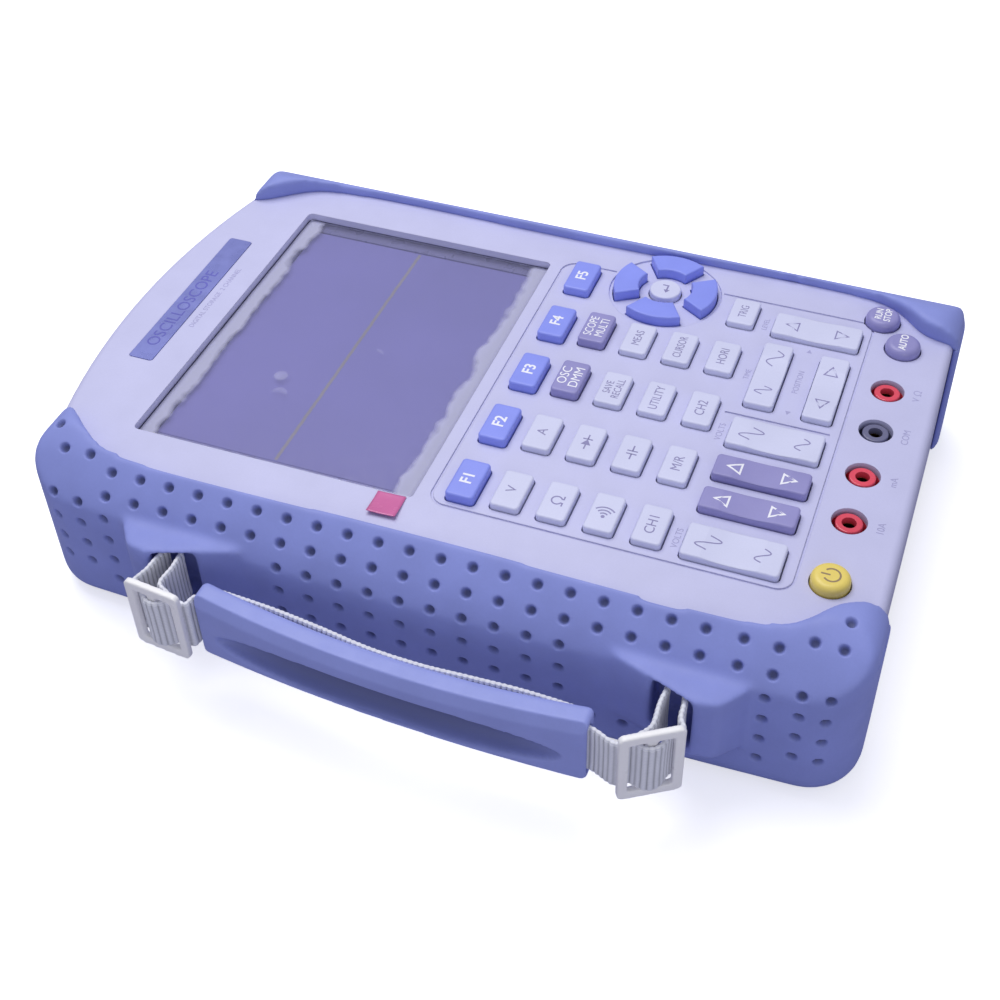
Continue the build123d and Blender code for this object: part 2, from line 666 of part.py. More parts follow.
def horn(end):
    """Anchor horn with sloping top and bottom faces."""
    body = prism(horn_plan(end), HANDLE_Z - 16, HANDLE_Z + 16)
    wall = BUMPER_X + 1.3
    half_root, half_tip = HORN_ROOT_H / 2, HORN_TIP_H / 2
    section = Polyline(
        (-CASE_X, HANDLE_Z - half_root - 1), (-wall, HANDLE_Z - half_root),
        (-HORN_X - 2, HANDLE_Z - half_tip), (-HORN_X - 2, HANDLE_Z + half_tip),
        (-wall, HANDLE_Z + HORN_TOP), (-CASE_X, HANDLE_Z + HORN_TOP + 0.2),
        (-CASE_X, HANDLE_Z - half_root - 1),
    )
    slab = extrude(Plane.XZ * make_face(section), amount=LENGTH, both=True)
    return body & slab


def horn_cavity(end):
    """Slot in the sloping face and the pocket behind the horn's end."""
    def at(depth, reach):
        return (-depth, HANDLE_Y + end * reach)

    near, far = HORN_SLOT_Y
    points = [
        at(HORN_X + 6, near), at(CASE_X + 2.2, near), at(CASE_X + 2.2, far + 6.5),
        at(HORN_X - 4.2, far + 6.5), at(HORN_X - 3.4, far), at(HORN_X + 6, far),
    ]
    plan = make_face(Polyline(*points, points[0]))
    return prism(plan, HANDLE_Z - SLOT_H / 2, HANDLE_Z + SLOT_H / 2)


def horn_post(end):
    """Moulded post that the webbing is looped round."""
    x = -HORN_X + 7.6
    y = HANDLE_Y + end * (HORN_SLOT_Y[1] + 3.4)
    return post(x, y, 1.5, HANDLE_Z - SLOT_H / 2 - 1, HANDLE_Z + SLOT_H / 2 + 1)


def left_bumper():
    body = bumper(-1)
    for end in (-1, 1):
        body = body + horn(end) - horn_cavity(end) + horn_post(end)
    return body


def grip_line(u):
    """Point on the grip's middle line; u runs 0 to 1 from the display end."""
    (x0, y0), (x1, y1) = GRIP_ENDS
    bow = GRIP_BOW * (1 - (2 * u - 1) ** 2)
    return (x0 + (x1 - x0) * u - bow, y0 + (y1 - y0) * u)


def grip_side(offset_x):
    return [(x + offset_x, y) for x, y in (grip_line(u / 8) for u in range(9))]


def handle_grip():
    """Bowed grip, waisted in the middle, hollowed on the outside for the fingers."""
    inner = grip_side(GRIP_T / 2)
    outer = grip_side(-GRIP_T / 2)
    ends = Line(inner[0], outer[0]) + Line(inner[-1], outer[-1])
    plan = make_face(Spline(*inner) + Spline(*outer) + ends)
    body = prism(plan, HANDLE_Z - GRIP_H / 2, HANDLE_Z + GRIP_H / 2)
    half, waist = GRIP_H / 2, GRIP_WAIST / 2
    y_top, y_low = GRIP_ENDS[0][1] + 4, GRIP_ENDS[1][1] - 4
    middle = (y_top + y_low) / 2
    upper = Spline((y_low, HANDLE_Z + half), (middle, HANDLE_Z + waist), (y_top, HANDLE_Z + half))
    lower = Spline((y_low, HANDLE_Z - half), (middle, HANDLE_Z - waist), (y_top, HANDLE_Z - half))
    sides = Line((y_low, HANDLE_Z + half), (y_low, HANDLE_Z - half))
    sides = sides + Line((y_top, HANDLE_Z + half), (y_top, HANDLE_Z - half))
    profile = Plane.YZ * make_face(upper + lower + sides)
    body = body & extrude(profile, amount=200, both=True)
    body = fillet(body.edges(), 1.5)
    body = body - finger_scoop()
    for x, y, into in grip_pockets():
        body = body - (Pos(x, y, HANDLE_Z) * Rot(0, 0, into) * Box(2.6, 16.0, WEB_W + 1.0))
    return body


def finger_scoop():
    """Thick ring whose rim leaves a long shallow hollow in the grip's outer side."""
    ring = revolve(Pos(SCOOP_R, 0) * Circle(SCOOP_HALF), axis=Axis.Y)
    (x0, y0), (x1, y1) = GRIP_ENDS
    turn = -math.degrees(math.atan2(x0 - x1, y0 - y1))
    place = Pos(SCOOP_X, HANDLE_Y + SCOOP_Y, HANDLE_Z - SCOOP_DROP) * Rot(0, 0, turn)
    return place * Pos(-SCOOP_R, 0, 0) * Rot(90, 0, 0) * ring


def grip_pockets():
    """Slots in the two ends of the grip for the webbing, as x, y and turn."""
    (x0, y0), (x1, y1) = GRIP_ENDS
    return ((x0 - 0.6, y0, 4.0), (x1 - 1.0, y1, -8.0))


def buckle(x, y, turn):
    """Three-bar slider standing upright on the webbing."""
    frame = Box(BUCKLE_T, BUCKLE_L, BUCKLE_W)
    frame = fillet(frame.edges().filter_by(Axis.X), 1.6)
    window = Box(BUCKLE_T * 3, 4.4, WEB_W + 1.4)
    for side in (-1, 1):
        frame = frame - Pos(0, side * 3.5, 0) * window
    return Pos(x, y, HANDLE_Z) * Rot(0, 0, turn) * frame


def ribbon(points, thickness=WEB_T):
    """Upright ribbon of webbing that follows a line seen from above."""
    near = []
    far = []
    for i, (x, y) in enumerate(points):
        x0, y0 = points[max(i - 1, 0)]
        x1, y1 = points[min(i + 1, len(points) - 1)]
        first = math.atan2(y - y0, x - x0) if i else math.atan2(y1 - y, x1 - x)
        last = math.atan2(y1 - y, x1 - x) if i < len(points) - 1 else first
        bend = math.remainder(last - first, 2 * math.pi)
        across = first + bend / 2 + math.pi / 2
        reach = thickness / 2 / math.cos(bend / 2)
        near.append((x + reach * math.cos(across), y + reach * math.sin(across)))
        far.append((x - reach * math.cos(across), y - reach * math.sin(across)))
    outline = near + far[::-1]
    plan = make_face(Polyline(*outline, outline[0]))
    return prism(plan, HANDLE_Z - WEB_W / 2, HANDLE_Z + WEB_W / 2)


def on_buckle(index, along, out):
    """Plan point given in a buckle's own directions."""
    x, y, turn = BUCKLES[index]
    angle = math.radians(turn)
    px = x - along * math.sin(angle) - out * math.cos(angle)
    py = y + along * math.cos(angle) - out * math.sin(angle)
    return (px, py)


def handle_webbing():
    """Webbing at both ends: out of the grip, woven over the buckle, into the horn."""
    behind = BUCKLE_T / 2 + WEB_T / 2 + 0.12
    solids = []
    for index, end in ((0, 1), (1, -1)):
        x, y, turn = grip_pockets()[index]
        lean = math.tan(math.radians(turn))
        low, high = HORN_SLOT_Y
        slot = HANDLE_Y + end * (low + high) / 2
        deep = -CASE_X - 9.0
        weave = [on_buckle(index, end * a, o) for a, o in
                 ((-5.0, -behind), (-2.0, behind), (2.0, behind), (5.0, -behind), (8.6, -behind))]
        mouth = (-HORN_X - 2.2, HANDLE_Y + end * (high - 1.6))
        path = [(x + end * 5.0 * lean, y - end * 5.0), (x - 0.2, y + end * 1.6)] + weave
        solids.append(ribbon(path + [mouth, (deep, slot + end * 2.6)]))
        back = [(deep, slot - end * 1.6), (-HORN_X - 3.0, slot - end * 2.4)]
        solids.append(ribbon(back + [on_buckle(index, end * 1.0, -behind - WEB_T - 0.3)]))
    return Compound(children=solids)


def keypad_mat():
    """Silicone sheet under the keys with a dome below every plunger hidden in it."""
    return block(MAT, *MAT_Z) - block(JACK_NOTCH, MAT_Z[0] - 1, MAT_Z[1] + 1)


def main_board():
    board = block(BOARD, *BOARD_Z) - block(JACK_NOTCH, BOARD_Z[0] - 1, BOARD_Z[1] + 1)
    under = BOARD_Z[0]
    shield = block(SHIELD, under - SHIELD_H, under)
    transformer = block(TRANSFORMER, under - TRANSFORMER_H, under)
    fuses = block(FUSES, under - FUSES_H, under)
    return board + shield + transformer + fuses


def battery_pack():
    """Wrapped pack of round cells."""
    body = block(BATTERY, *BATTERY_Z)
    return fillet(body.edges().filter_by(Axis.Y), 6.0)


def battery_door():
    x0, x1, y0, y1 = DOOR
    g = DOOR_GAP
    plate = block((x0 + g, x1 - g, y0 + g, y1 - g), BACK_Z - 0.4, BACK_Z + 1.9)
    grips = []
    for i in range(5):
        y = y0 + 8 + 3.2 * i
        grips.append(block((-14, 14, y, y + 1.4), BACK_Z - 1, BACK_Z + 0.2))
    return plate - grips


def tilt_stand():
    """Folding frame with a round knuckle and a pin at each end of its hinge line."""
    outer = (-STAND_X, STAND_X, STAND_FREE_Y, STAND_HINGE_Y)
    inner = (-STAND_X + 12, STAND_X - 12, STAND_FREE_Y + 14, STAND_HINGE_Y - 12)
    frame = block(outer, *STAND_Z) - prism(rounded_rect(inner, 6.0), 0, 6)
    foot = block((-STAND_X, STAND_X, STAND_FREE_Y, STAND_FREE_Y + 5), 0.9, STAND_Z[0] + 0.5)
    knuckle = level_rod(0, STAND_HINGE_Y, STAND_PIN_Z, 1.3, 2 * STAND_X, "x")
    pins = level_rod(0, STAND_HINGE_Y, STAND_PIN_Z, STAND_PIN_R, 2 * STAND_X + 5.6, "x")
    return frame + foot + knuckle + pins


def nameplate():
    """Thin blank plate let into the face above the display."""
    x0, x1, y0, y1 = NAMEPLATE
    return prism(rounded_rect((x0 + 0.1, x1 - 0.1, y0 + 0.1, y1 - 0.1), 0.9), *NAMEPLATE_Z)


def save(shape, name):
    export_step(Pos(SHIFT_X, 0, 0) * shape, f"parts/{name}.step")


def save_keys():
    for name, x, y, plan, top, soften in key_layout():
        save(Pos(x, y, 0) * build_key(name, plan, top, soften), name)
    for name, x, y, width, depth, dark in ROCKERS:
        save(Pos(x, y, 0) * build_rocker(width, depth, dark), name)


def main():
    os.makedirs("parts", exist_ok=True)
    save(front_shell(), "front_shell")
    save(rear_shell(), "rear_shell")
    save(left_bumper(), "left_bumper")
    save(bumper(1), "right_bumper")
    save(lens(), "display_window")
    save(screen_film(), "screen_film")
    save(lcd_module(), "lcd_module")
    save(nameplate(), "nameplate")
    save(keypad_mat(), "keypad_mat")
    save(main_board(), "main_board")
    save(battery_pack(), "battery_pack")
    save(battery_door(), "battery_door")
    save(tilt_stand(), "tilt_stand")
    save(port_cover(), "port_cover")
    save(port_sockets(), "port_sockets")
    save(bnc_connectors(), "bnc_connectors")
    red = [jack_body(x) for i, x in enumerate(JACK_X) if i != COMMON_JACK]
    save(Compound(children=red), "banana_jacks_red")
    save(jack_body(JACK_X[COMMON_JACK]), "banana_jack_black")
    save(Compound(children=[jack_contact(x) for x in JACK_X]), "jack_contacts")
    save(case_screws(), "case_screws")
    save(handle_grip(), "handle_grip")
    save(handle_webbing(), "handle_webbing")
    save(Compound(children=[buckle(*b) for b in BUCKLES]), "strap_buckles")
    save_keys()


main()
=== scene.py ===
import json
import math
import random

import bmesh
import bpy
import numpy as np
from mathutils import Matrix, Vector
from mathutils.kdtree import KDTree

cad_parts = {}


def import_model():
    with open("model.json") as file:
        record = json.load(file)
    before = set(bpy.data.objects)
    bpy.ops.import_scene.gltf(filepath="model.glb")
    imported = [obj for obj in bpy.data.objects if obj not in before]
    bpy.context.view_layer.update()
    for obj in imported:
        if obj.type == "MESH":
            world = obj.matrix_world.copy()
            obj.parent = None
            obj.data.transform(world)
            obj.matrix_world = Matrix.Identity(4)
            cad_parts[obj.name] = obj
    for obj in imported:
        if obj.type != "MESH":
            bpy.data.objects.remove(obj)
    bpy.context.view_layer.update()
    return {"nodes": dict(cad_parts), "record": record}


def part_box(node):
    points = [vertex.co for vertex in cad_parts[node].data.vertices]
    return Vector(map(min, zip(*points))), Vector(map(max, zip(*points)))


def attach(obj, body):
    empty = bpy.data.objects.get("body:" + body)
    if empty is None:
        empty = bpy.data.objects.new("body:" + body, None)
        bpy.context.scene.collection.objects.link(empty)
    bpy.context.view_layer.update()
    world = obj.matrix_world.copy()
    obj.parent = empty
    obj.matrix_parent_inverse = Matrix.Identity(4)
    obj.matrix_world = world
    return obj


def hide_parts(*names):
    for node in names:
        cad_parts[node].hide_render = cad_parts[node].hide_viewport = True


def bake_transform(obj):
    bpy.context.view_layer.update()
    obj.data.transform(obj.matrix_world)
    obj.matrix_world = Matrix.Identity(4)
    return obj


# Handheld oscilloscope. Lengths in this script are millimetres about the middle of the
# case, +X to the user's right, +Y to the display end, +Z out of the face; at() turns
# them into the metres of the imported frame.

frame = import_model()
NODES = frame["nodes"]
MM = 0.001

SHELL_LOW, SHELL_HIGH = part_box("front_shell")
CENTRE_X = (SHELL_LOW.x + SHELL_HIGH.x) / 2 / MM
FACE_Z = SHELL_HIGH.z / MM
HANDLE_Z = 28.8
HANDLE_Y = -6.5
PRINT_RISE = 0.03
PRINT_DEPTH = 0.07


def at(x, y, z):
    return Vector(((x + CENTRE_X) * MM, y * MM, z * MM))


def plan(point):
    """A frame point in metres as millimetres about the middle of the case."""
    return Vector((point.x / MM - CENTRE_X, point.y / MM, point.z / MM))


def rgb(red, green, blue):
    """sRGB 0-255 as a linear colour."""
    def lin(v):
        v /= 255
        return v / 12.92 if v <= 0.04045 else ((v + 0.055) / 1.055) ** 2.4
    return (lin(red), lin(green), lin(blue), 1.0)


def tone(colour, factor):
    return tuple(min(1.0, c * factor) for c in colour[:3]) + (1.0,)


# ---------------------------------------------------------------- materials

class Nodes:
    """A material's node tree, built by short calls.

    add() takes a socket by its name, with _ for a space, or by its number as i0, i1.
    """

    def __init__(self, name):
        self.material = bpy.data.materials.new(name)
        self.material.use_nodes = True
        self.tree = self.material.node_tree
        self.tree.nodes.clear()
        self.coords = self.add("ShaderNodeTexCoord").outputs["Object"]

    def add(self, kind, settings=None, **inputs):
        node = self.tree.nodes.new(kind)
        for key, value in (settings or {}).items():
            setattr(node, key, value)
        for key, value in inputs.items():
            socket = node.inputs[int(key[1:])] if key[0] == "i" and key[1:].isdigit() \
                else node.inputs[key.replace("_", " ")]
            if isinstance(value, bpy.types.NodeSocket):
                self.tree.links.new(value, socket)
            else:
                socket.default_value = value
        return node

    def noise(self, scale, detail=2.0, vector=None):
        node = self.add("ShaderNodeTexNoise", Scale=scale, Detail=detail,
                        Vector=vector or self.coords)
        return node.outputs["Fac"]

    def remap(self, value, low, high, from_low=0.3, from_high=0.7):
        node = self.add("ShaderNodeMapRange", Value=value, From_Min=from_low,
                        From_Max=from_high, To_Min=low, To_Max=high)
        return node.outputs["Result"]

    def mix(self, factor, a, b):
        node = self.add("ShaderNodeMix", {"data_type": "RGBA"})
        for socket, value in ((node.inputs[0], factor), (node.inputs[6], a), (node.inputs[7], b)):
            if isinstance(value, bpy.types.NodeSocket):
                self.tree.links.new(value, socket)
            else:
                socket.default_value = value
        return node.outputs[2]

    def math(self, operation, a, b=0.0, clamp=False):
        return self.add("ShaderNodeMath", {"operation": operation, "use_clamp": clamp},
                        i0=a, i1=b).outputs[0]

    def bump(self, height, distance, strength=1.0, normal=None):
        node = self.add("ShaderNodeBump", Height=height, Distance=distance * MM,
                        Strength=strength)
        if normal:
            self.tree.links.new(normal, node.inputs["Normal"])
        return node.outputs["Normal"]

    def out(self, shader):
        self.add("ShaderNodeOutputMaterial", Surface=shader)
        return self.material


# Noise scales are counts per metre.
MOTTLE_SCALE = 70.0
SCUFF_SCALE = 500.0
GLOSS_SCALE = 220.0
GLOSS_SPREAD = 0.07
GRAIN_SHADE = 0.8
WORN_SHADE = 1.35
EDGE_TURN = (0.80, 0.985)


def moulded(name, colour, rough=0.45, mottle=0.05, grain=0.02, fine=1500.0, wear=0.0,
            edge=0.0, metallic=0.0, spec=0.5, coat=0.0, pit_shade_tone=0.0):
    """Moulded or painted surface: uneven tone, fine grain, and worn, softened edges.

    edge is the softened edge's radius in mm, and the shade tone is the colour of painted shade on
    the floors of dimples and hollows.
    """
    n = Nodes(name)
    broad = n.noise(MOTTLE_SCALE, 3.0)
    base = n.mix(n.remap(broad, 0.0, 1.0), tone(colour, 1 - mottle), tone(colour, 1 + mottle))
    fine_noise = n.noise(fine, 2.0)
    base = n.mix(n.remap(fine_noise, 0.0, 0.12), base, tone(colour, GRAIN_SHADE))
    # Painted shade: darkens the floors of dimples and hollows, where shade falls.
    if pit_shade_tone:
        painted_pit_shade = n.add("ShaderNodeAttribute", {"attribute_name": "painted_pit_shade"}).outputs["Fac"]
        base = n.mix(painted_pit_shade, base, tone(colour, pit_shade_tone))
    soft = None
    if edge:
        soft = n.add("ShaderNodeBevel", {"samples": 4}, Radius=edge * MM).outputs[0]
        flat = n.add("ShaderNodeNewGeometry").outputs["Normal"]
        dot = n.add("ShaderNodeVectorMath", {"operation": "DOT_PRODUCT"}, i0=soft,
                    i1=flat).outputs["Value"]
        worn = n.math("MULTIPLY", n.remap(dot, wear, 0.0, *EDGE_TURN),
                      n.remap(n.noise(SCUFF_SCALE), 0.4, 1.0))
        base = n.mix(worn, base, tone(colour, WORN_SHADE))
    normal = n.bump(fine_noise, grain, 0.6, soft)
    roughness = n.remap(n.noise(GLOSS_SCALE, 3.0), rough - GLOSS_SPREAD, rough + GLOSS_SPREAD)
    shader = n.add("ShaderNodeBsdfPrincipled", Base_Color=base, Roughness=roughness,
                   Metallic=metallic, Normal=normal, Coat_Weight=coat)
    shader.inputs["Specular IOR Level"].default_value = spec
    return n.out(shader.outputs[0])


THREAD_SCALE = 520.0
FUZZ_SCALE = 2600.0
SOIL_SCALE = 260.0
THREAD_BUMP = 0.10
# Tone of the painted shade in the grooves between the ribs.
GROOVE_SHADE = 0.28


def woven(name, colour):
    """Flat webbing: ribs are modelled, so this adds the crossing threads and fuzz, and painted
    shade in the grooves between the ribs.
    """
    n = Nodes(name)
    threads = n.add("ShaderNodeTexWave", {"wave_type": "BANDS", "bands_direction": "Z"},
                    Vector=n.coords, Scale=THREAD_SCALE, Distortion=1.2,
                    Detail=2.0).outputs["Fac"]
    fuzz = n.noise(FUZZ_SCALE, 2.0)
    rib_gap_shade = n.add("ShaderNodeAttribute", {"attribute_name": "rib_gap_shade"}).outputs["Fac"]
    shade = n.mix(threads, tone(colour, 0.90), tone(colour, 1.08))
    shade = n.mix(n.remap(n.noise(SOIL_SCALE), 0.0, 0.25), shade, tone(colour, 0.80))
    # Painted shade in the grooves between the ribs.
    shade = n.mix(rib_gap_shade, shade, tone(colour, GROOVE_SHADE))
    height = n.math("ADD", n.math("MULTIPLY", threads, 0.7), n.math("MULTIPLY", fuzz, 0.5))
    shader = n.add("ShaderNodeBsdfPrincipled", Base_Color=shade, Roughness=0.85,
                   Normal=n.bump(height, THREAD_BUMP, 0.9), Sheen_Weight=0.35)
    return n.out(shader.outputs[0])


RIPPLE_SCALE = 90.0
SMEAR_SCALE = 400.0
CLEAR_IOR = 1.45


def see_through(name, tint, body_colour, body_share, gloss, ripple=0.0):
    """Clear sheet: light passes straight on, but for a milky share and the surface shine.

    body_share is a number, or a function that adds the nodes for it.
    """
    n = Nodes(name)
    normal = n.bump(n.noise(RIPPLE_SCALE, 2.0), ripple, 0.5) if ripple else None
    fresnel = n.add("ShaderNodeFresnel", IOR=CLEAR_IOR)
    shine = n.add("ShaderNodeBsdfGlossy", Color=(1, 1, 1, 1),
                  Roughness=n.remap(n.noise(SMEAR_SCALE), gloss * 0.7, gloss * 1.3))
    if normal:
        n.tree.links.new(normal, fresnel.inputs["Normal"])
        n.tree.links.new(normal, shine.inputs["Normal"])
    through = n.add("ShaderNodeBsdfTransparent", Color=tint).outputs[0]
    body = n.add("ShaderNodeBsdfDiffuse", Color=body_colour).outputs[0]
    milk = body_share(n) if callable(body_share) else body_share
    sheet = n.add("ShaderNodeMixShader", i0=milk, i1=through, i2=body).outputs[0]
    inside = n.add("ShaderNodeNewGeometry").outputs["Backfacing"]
    shining = n.math("MULTIPLY", fresnel.outputs[0], n.math("SUBTRACT", 1.0, inside))
    mixed = n.add("ShaderNodeMixShader", i0=shining, i1=sheet, i2=shine.outputs[0])
    return n.out(mixed.outputs[0])


HAZE_WIDTHS = (6.4, 6.0)
HAZE_SOFT = (0.6, 2.4)
HAZE_SHARE = 0.50
HAZE_EVERYWHERE = 0.04
HAZE_WANDER = 9.0
RAGGED_SCALE = 70.0
# Trapped bubbles, drawn as lighter milky spots: painted reflection.
BUBBLE_SCALE = 62.0
BUBBLE_RIM = (0.13, 0.17)
BUBBLE_SHARE = 0.22
BUBBLE_PATCHES = (31.0, 0.60, 0.66)


def film_haze(n):
    """Milky borders with a ragged edge, and a few trapped bubbles whose lighter look is painted
    reflection.
    """
    low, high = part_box("display_window")
    parts = n.add("ShaderNodeSeparateXYZ", i0=n.coords)
    wobble = n.math("MULTIPLY", n.math("SUBTRACT", n.noise(RAGGED_SCALE, 3.0), 0.5),
                    HAZE_WANDER * MM)
    bands = []
    for sign, side, width in ((1.0, low.y, HAZE_WIDTHS[0]), (-1.0, -high.y, HAZE_WIDTHS[1])):
        place = n.math("MULTIPLY", parts.outputs[1], sign)
        inside = n.math("ADD", n.math("SUBTRACT", place, side), wobble)
        bands.append(n.remap(inside, HAZE_SHARE, 0.0, (width + HAZE_SOFT[0]) * MM,
                             (width + HAZE_SOFT[1]) * MM))
    haze = n.math("MAXIMUM", *bands)
    # Painted reflection: lighter milky spots where bubbles are trapped.
    bubble_reflection = n.add("ShaderNodeTexVoronoi", Vector=n.coords, Scale=BUBBLE_SCALE)
    patch_scale, patch_from, patch_to = BUBBLE_PATCHES
    few = n.remap(n.noise(patch_scale, 1.0), 0.0, 1.0, patch_from, patch_to)
    bubble_reflection = n.remap(bubble_reflection.outputs["Distance"], BUBBLE_SHARE, 0.0, *BUBBLE_RIM)
    bubble_reflection = n.math("MULTIPLY", bubble_reflection, few)
    return n.math("ADD", n.math("MAXIMUM", haze, bubble_reflection), HAZE_EVERYWHERE, True)


PIXEL_ROW_SCALE = 900.0
PANEL_CLOUD_SCALE = 18.0


def display_panel(name):
    """Switched-on panel: violet grey, slightly cloudy, with faint pixel rows."""
    n = Nodes(name)
    rows = n.add("ShaderNodeTexWave", {"bands_direction": "Y"}, Vector=n.coords,
                 Scale=PIXEL_ROW_SCALE).outputs["Fac"]
    cloud = n.remap(n.noise(PANEL_CLOUD_SCALE, 2.0), 0.0, 1.0)
    base = n.mix(cloud, rgb(138, 134, 194), rgb(147, 142, 206))
    base = n.mix(n.math("MULTIPLY", rows, 0.10), base, rgb(120, 114, 174))
    shader = n.add("ShaderNodeBsdfPrincipled", Base_Color=base, Roughness=0.35,
                   Emission_Color=base, Emission_Strength=0.10)
    return n.out(shader.outputs[0])


M = {
    "face": moulded("face_plastic", rgb(201, 201, 236), 0.42, 0.025, 0.015, 1700, 0.25, 0.35),
    "case": moulded("case_plastic", rgb(196, 196, 232), 0.48, 0.03, 0.03, 1300, 0.25, 0.4),
    # The bumper and grip get painted shade on the floors of their dimples and finger hollow.
    "bumper": moulded("bumper_rubber", rgb(142, 152, 221), 0.55, 0.05, 0.03, 1500, spec=0.35,
                      pit_shade_tone=0.32),
    "grip": moulded("grip_plastic", rgb(150, 160, 227), 0.46, 0.04, 0.02, 1500, spec=0.4,
                    pit_shade_tone=0.42),
    "plate": moulded("badge_paint", rgb(136, 142, 212), 0.30, 0.06, 0.01, 2600, 0.5, 0.25,
                     0.35, coat=0.3),
    "silicone": moulded("keypad_silicone", rgb(188, 190, 222), 0.7, 0.05, 0.03, 1200),
    "board": moulded("solder_mask", rgb(24, 98, 60), 0.35, 0.2, 0.02, 900, coat=0.3),
    "battery": moulded("battery_wrap", rgb(52, 74, 150), 0.3, 0.08, 0.02, 700, coat=0.4),
    "stand": moulded("stand_plastic", rgb(176, 178, 224), 0.45, 0.04, 0.03, 1300, 0.3, 0.4),
    "steel": moulded("plated_steel", rgb(176, 180, 190), 0.32, 0.12, 0.02, 900, 0.5, 0.15, 0.9),
    "nickel": moulded("nickel_plate", rgb(206, 206, 210), 0.20, 0.08, 0.01, 1200, 0.4, 0.15, 1.0),
    "jack_red": moulded("jack_red_plastic", rgb(232, 74, 96), 0.28, 0.06, 0.01, 1500, 0.4, 0.2,
                        coat=0.4),
    "jack_black": moulded("jack_black_plastic", rgb(112, 112, 146), 0.30, 0.10, 0.01, 1500, 0.5,
                          0.2, coat=0.4),
    "contact": moulded("contact_brass", rgb(172, 142, 86), 0.3, 0.12, 0.01, 1500, 0.4, 0.1, 1.0),
    "webbing": woven("webbing_weave", rgb(240, 241, 255)),
    "buckle": moulded("buckle_plastic", rgb(254, 251, 253), 0.34, 0.03, 0.01, 1300),
    "key_blue": moulded("key_blue_plastic", rgb(140, 152, 244), 0.36, 0.04, 0.012, 1900, 0.35,
                        0.45),
    "key_white": moulded("key_white_plastic", rgb(213, 215, 243), 0.38, 0.025, 0.012, 1900,
                         0.3, 0.45),
    "key_dark": moulded("key_dark_plastic", rgb(150, 146, 202), 0.36, 0.05, 0.012, 1900, 0.4,
                        0.45),
    "key_yellow": moulded("key_yellow_plastic", rgb(240, 216, 110), 0.34, 0.05, 0.012, 1900,
                          0.3, 0.45),
    "lcd": moulded("lcd_frame", rgb(160, 158, 200), 0.3, 0.05, 0.01, 1400, metallic=0.4),
    "ink_white": moulded("ink_white", rgb(246, 246, 255), 0.4, 0.03, 0.01, 2500),
    "ink_grey": moulded("ink_grey", rgb(142, 138, 184), 0.5, 0.08, 0.01, 2500),
    "ink_pale": moulded("ink_pale", rgb(168, 166, 208), 0.5, 0.08, 0.01, 2500),
    "ink_dark": moulded("ink_dark", rgb(98, 98, 186), 0.4, 0.08, 0.01, 2500),
    "ink_brown": moulded("ink_brown", rgb(150, 128, 96), 0.5, 0.08, 0.01, 2500),
    "trace": moulded("trace_glow", rgb(178, 172, 168), 0.6, 0.08, 0.01, 2500),
    "panel": display_panel("display_panel"),
    "tab": moulded("tab_pink", rgb(214, 108, 166), 0.25, 0.08, 0.03, 900, coat=0.5),
    "window": see_through("window_clear", (0.93, 0.93, 0.97, 1), rgb(200, 200, 230), 0.02,
                          0.04),
    # The film's milky share includes painted reflection at the bubbles.
    "film": see_through("film_clear", (0.97, 0.97, 0.99, 1), rgb(214, 214, 240), film_haze,
                        0.12, 0.03),
}
NODE_SLOTS = {row["node"]: row["material_slot"] for row in frame["record"]["subparts"]}
for node_name, cad in NODES.items():
    cad.data.materials.clear()
    cad.data.materials.append(M[NODE_SLOTS[node_name]])


# ---------------------------------------------------------------- mesh helpers

def add_object(name, mesh, material, body, smooth=True):
    obj = bpy.data.objects.new(name, mesh)
    bpy.context.scene.collection.objects.link(obj)
    mesh.materials.clear()
    mesh.materials.append(material)
    for face in mesh.polygons:
        face.use_smooth = smooth
    if body:
        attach(obj, body)
    return obj


def from_points(name, points, faces, material, body, smooth=True):
    mesh = bpy.data.meshes.new(name)
    mesh.from_pydata([at(*p) for p in points], [], faces)
    mesh.validate()
    bm = bmesh.new()
    bm.from_mesh(mesh)
    bmesh.ops.recalc_face_normals(bm, faces=bm.faces)
    bm.to_mesh(mesh)
    bm.free()
    return add_object(name, mesh, material, body, smooth)


def coords_of(mesh):
    co = np.empty(len(mesh.vertices) * 3)
    mesh.vertices.foreach_get("co", co)
    return co.reshape(-1, 3)


def normals_of(mesh):
    out = np.empty(len(mesh.vertices) * 3)
    mesh.vertices.foreach_get("normal", out)
    return out.reshape(-1, 3)


def relax(co, edges, rounds):
    """Moves every vertex half way to the middle of its neighbours, several times."""
    count = np.maximum(np.bincount(edges.ravel(), minlength=len(co)), 1)
    for _ in range(rounds):
        for axis in range(3):
            value = co[:, axis]
            total = np.bincount(edges[:, 0], value[edges[:, 1]], len(co))
            total += np.bincount(edges[:, 1], value[edges[:, 0]], len(co))
            co[:, axis] = value + 0.5 * (total / count - value)


def soft_mesh(node, voxel, rounds):
    """Even mesh over a CAD node with every edge rounded off."""
    bm = bmesh.new()
    bm.from_mesh(NODES[node].data)
    bmesh.ops.remove_doubles(bm, verts=bm.verts, dist=1e-6)
    mesh = bpy.data.meshes.new(node + "_work")
    bm.to_mesh(mesh)
    bm.free()
    work = bpy.data.objects.new(node + "_work", mesh)
    bpy.context.scene.collection.objects.link(work)
    remesh = work.modifiers.new("even", "REMESH")
    remesh.mode = "VOXEL"
    remesh.voxel_size = voxel * MM
    graph = bpy.context.evaluated_depsgraph_get()
    result = bpy.data.meshes.new_from_object(work.evaluated_get(graph))
    bpy.data.objects.remove(work)
    co = coords_of(result)
    relax(co, edges_of(result), rounds)
    set_coords(result, co)
    return result


def edges_of(mesh):
    edges = np.empty(len(mesh.edges) * 2, np.int64)
    mesh.edges.foreach_get("vertices", edges)
    return edges.reshape(-1, 2)


def set_coords(mesh, co):
    mesh.vertices.foreach_set("co", co.astype(np.float32).ravel())
    mesh.update()


# ---------------------------------------------------------------- bumpers

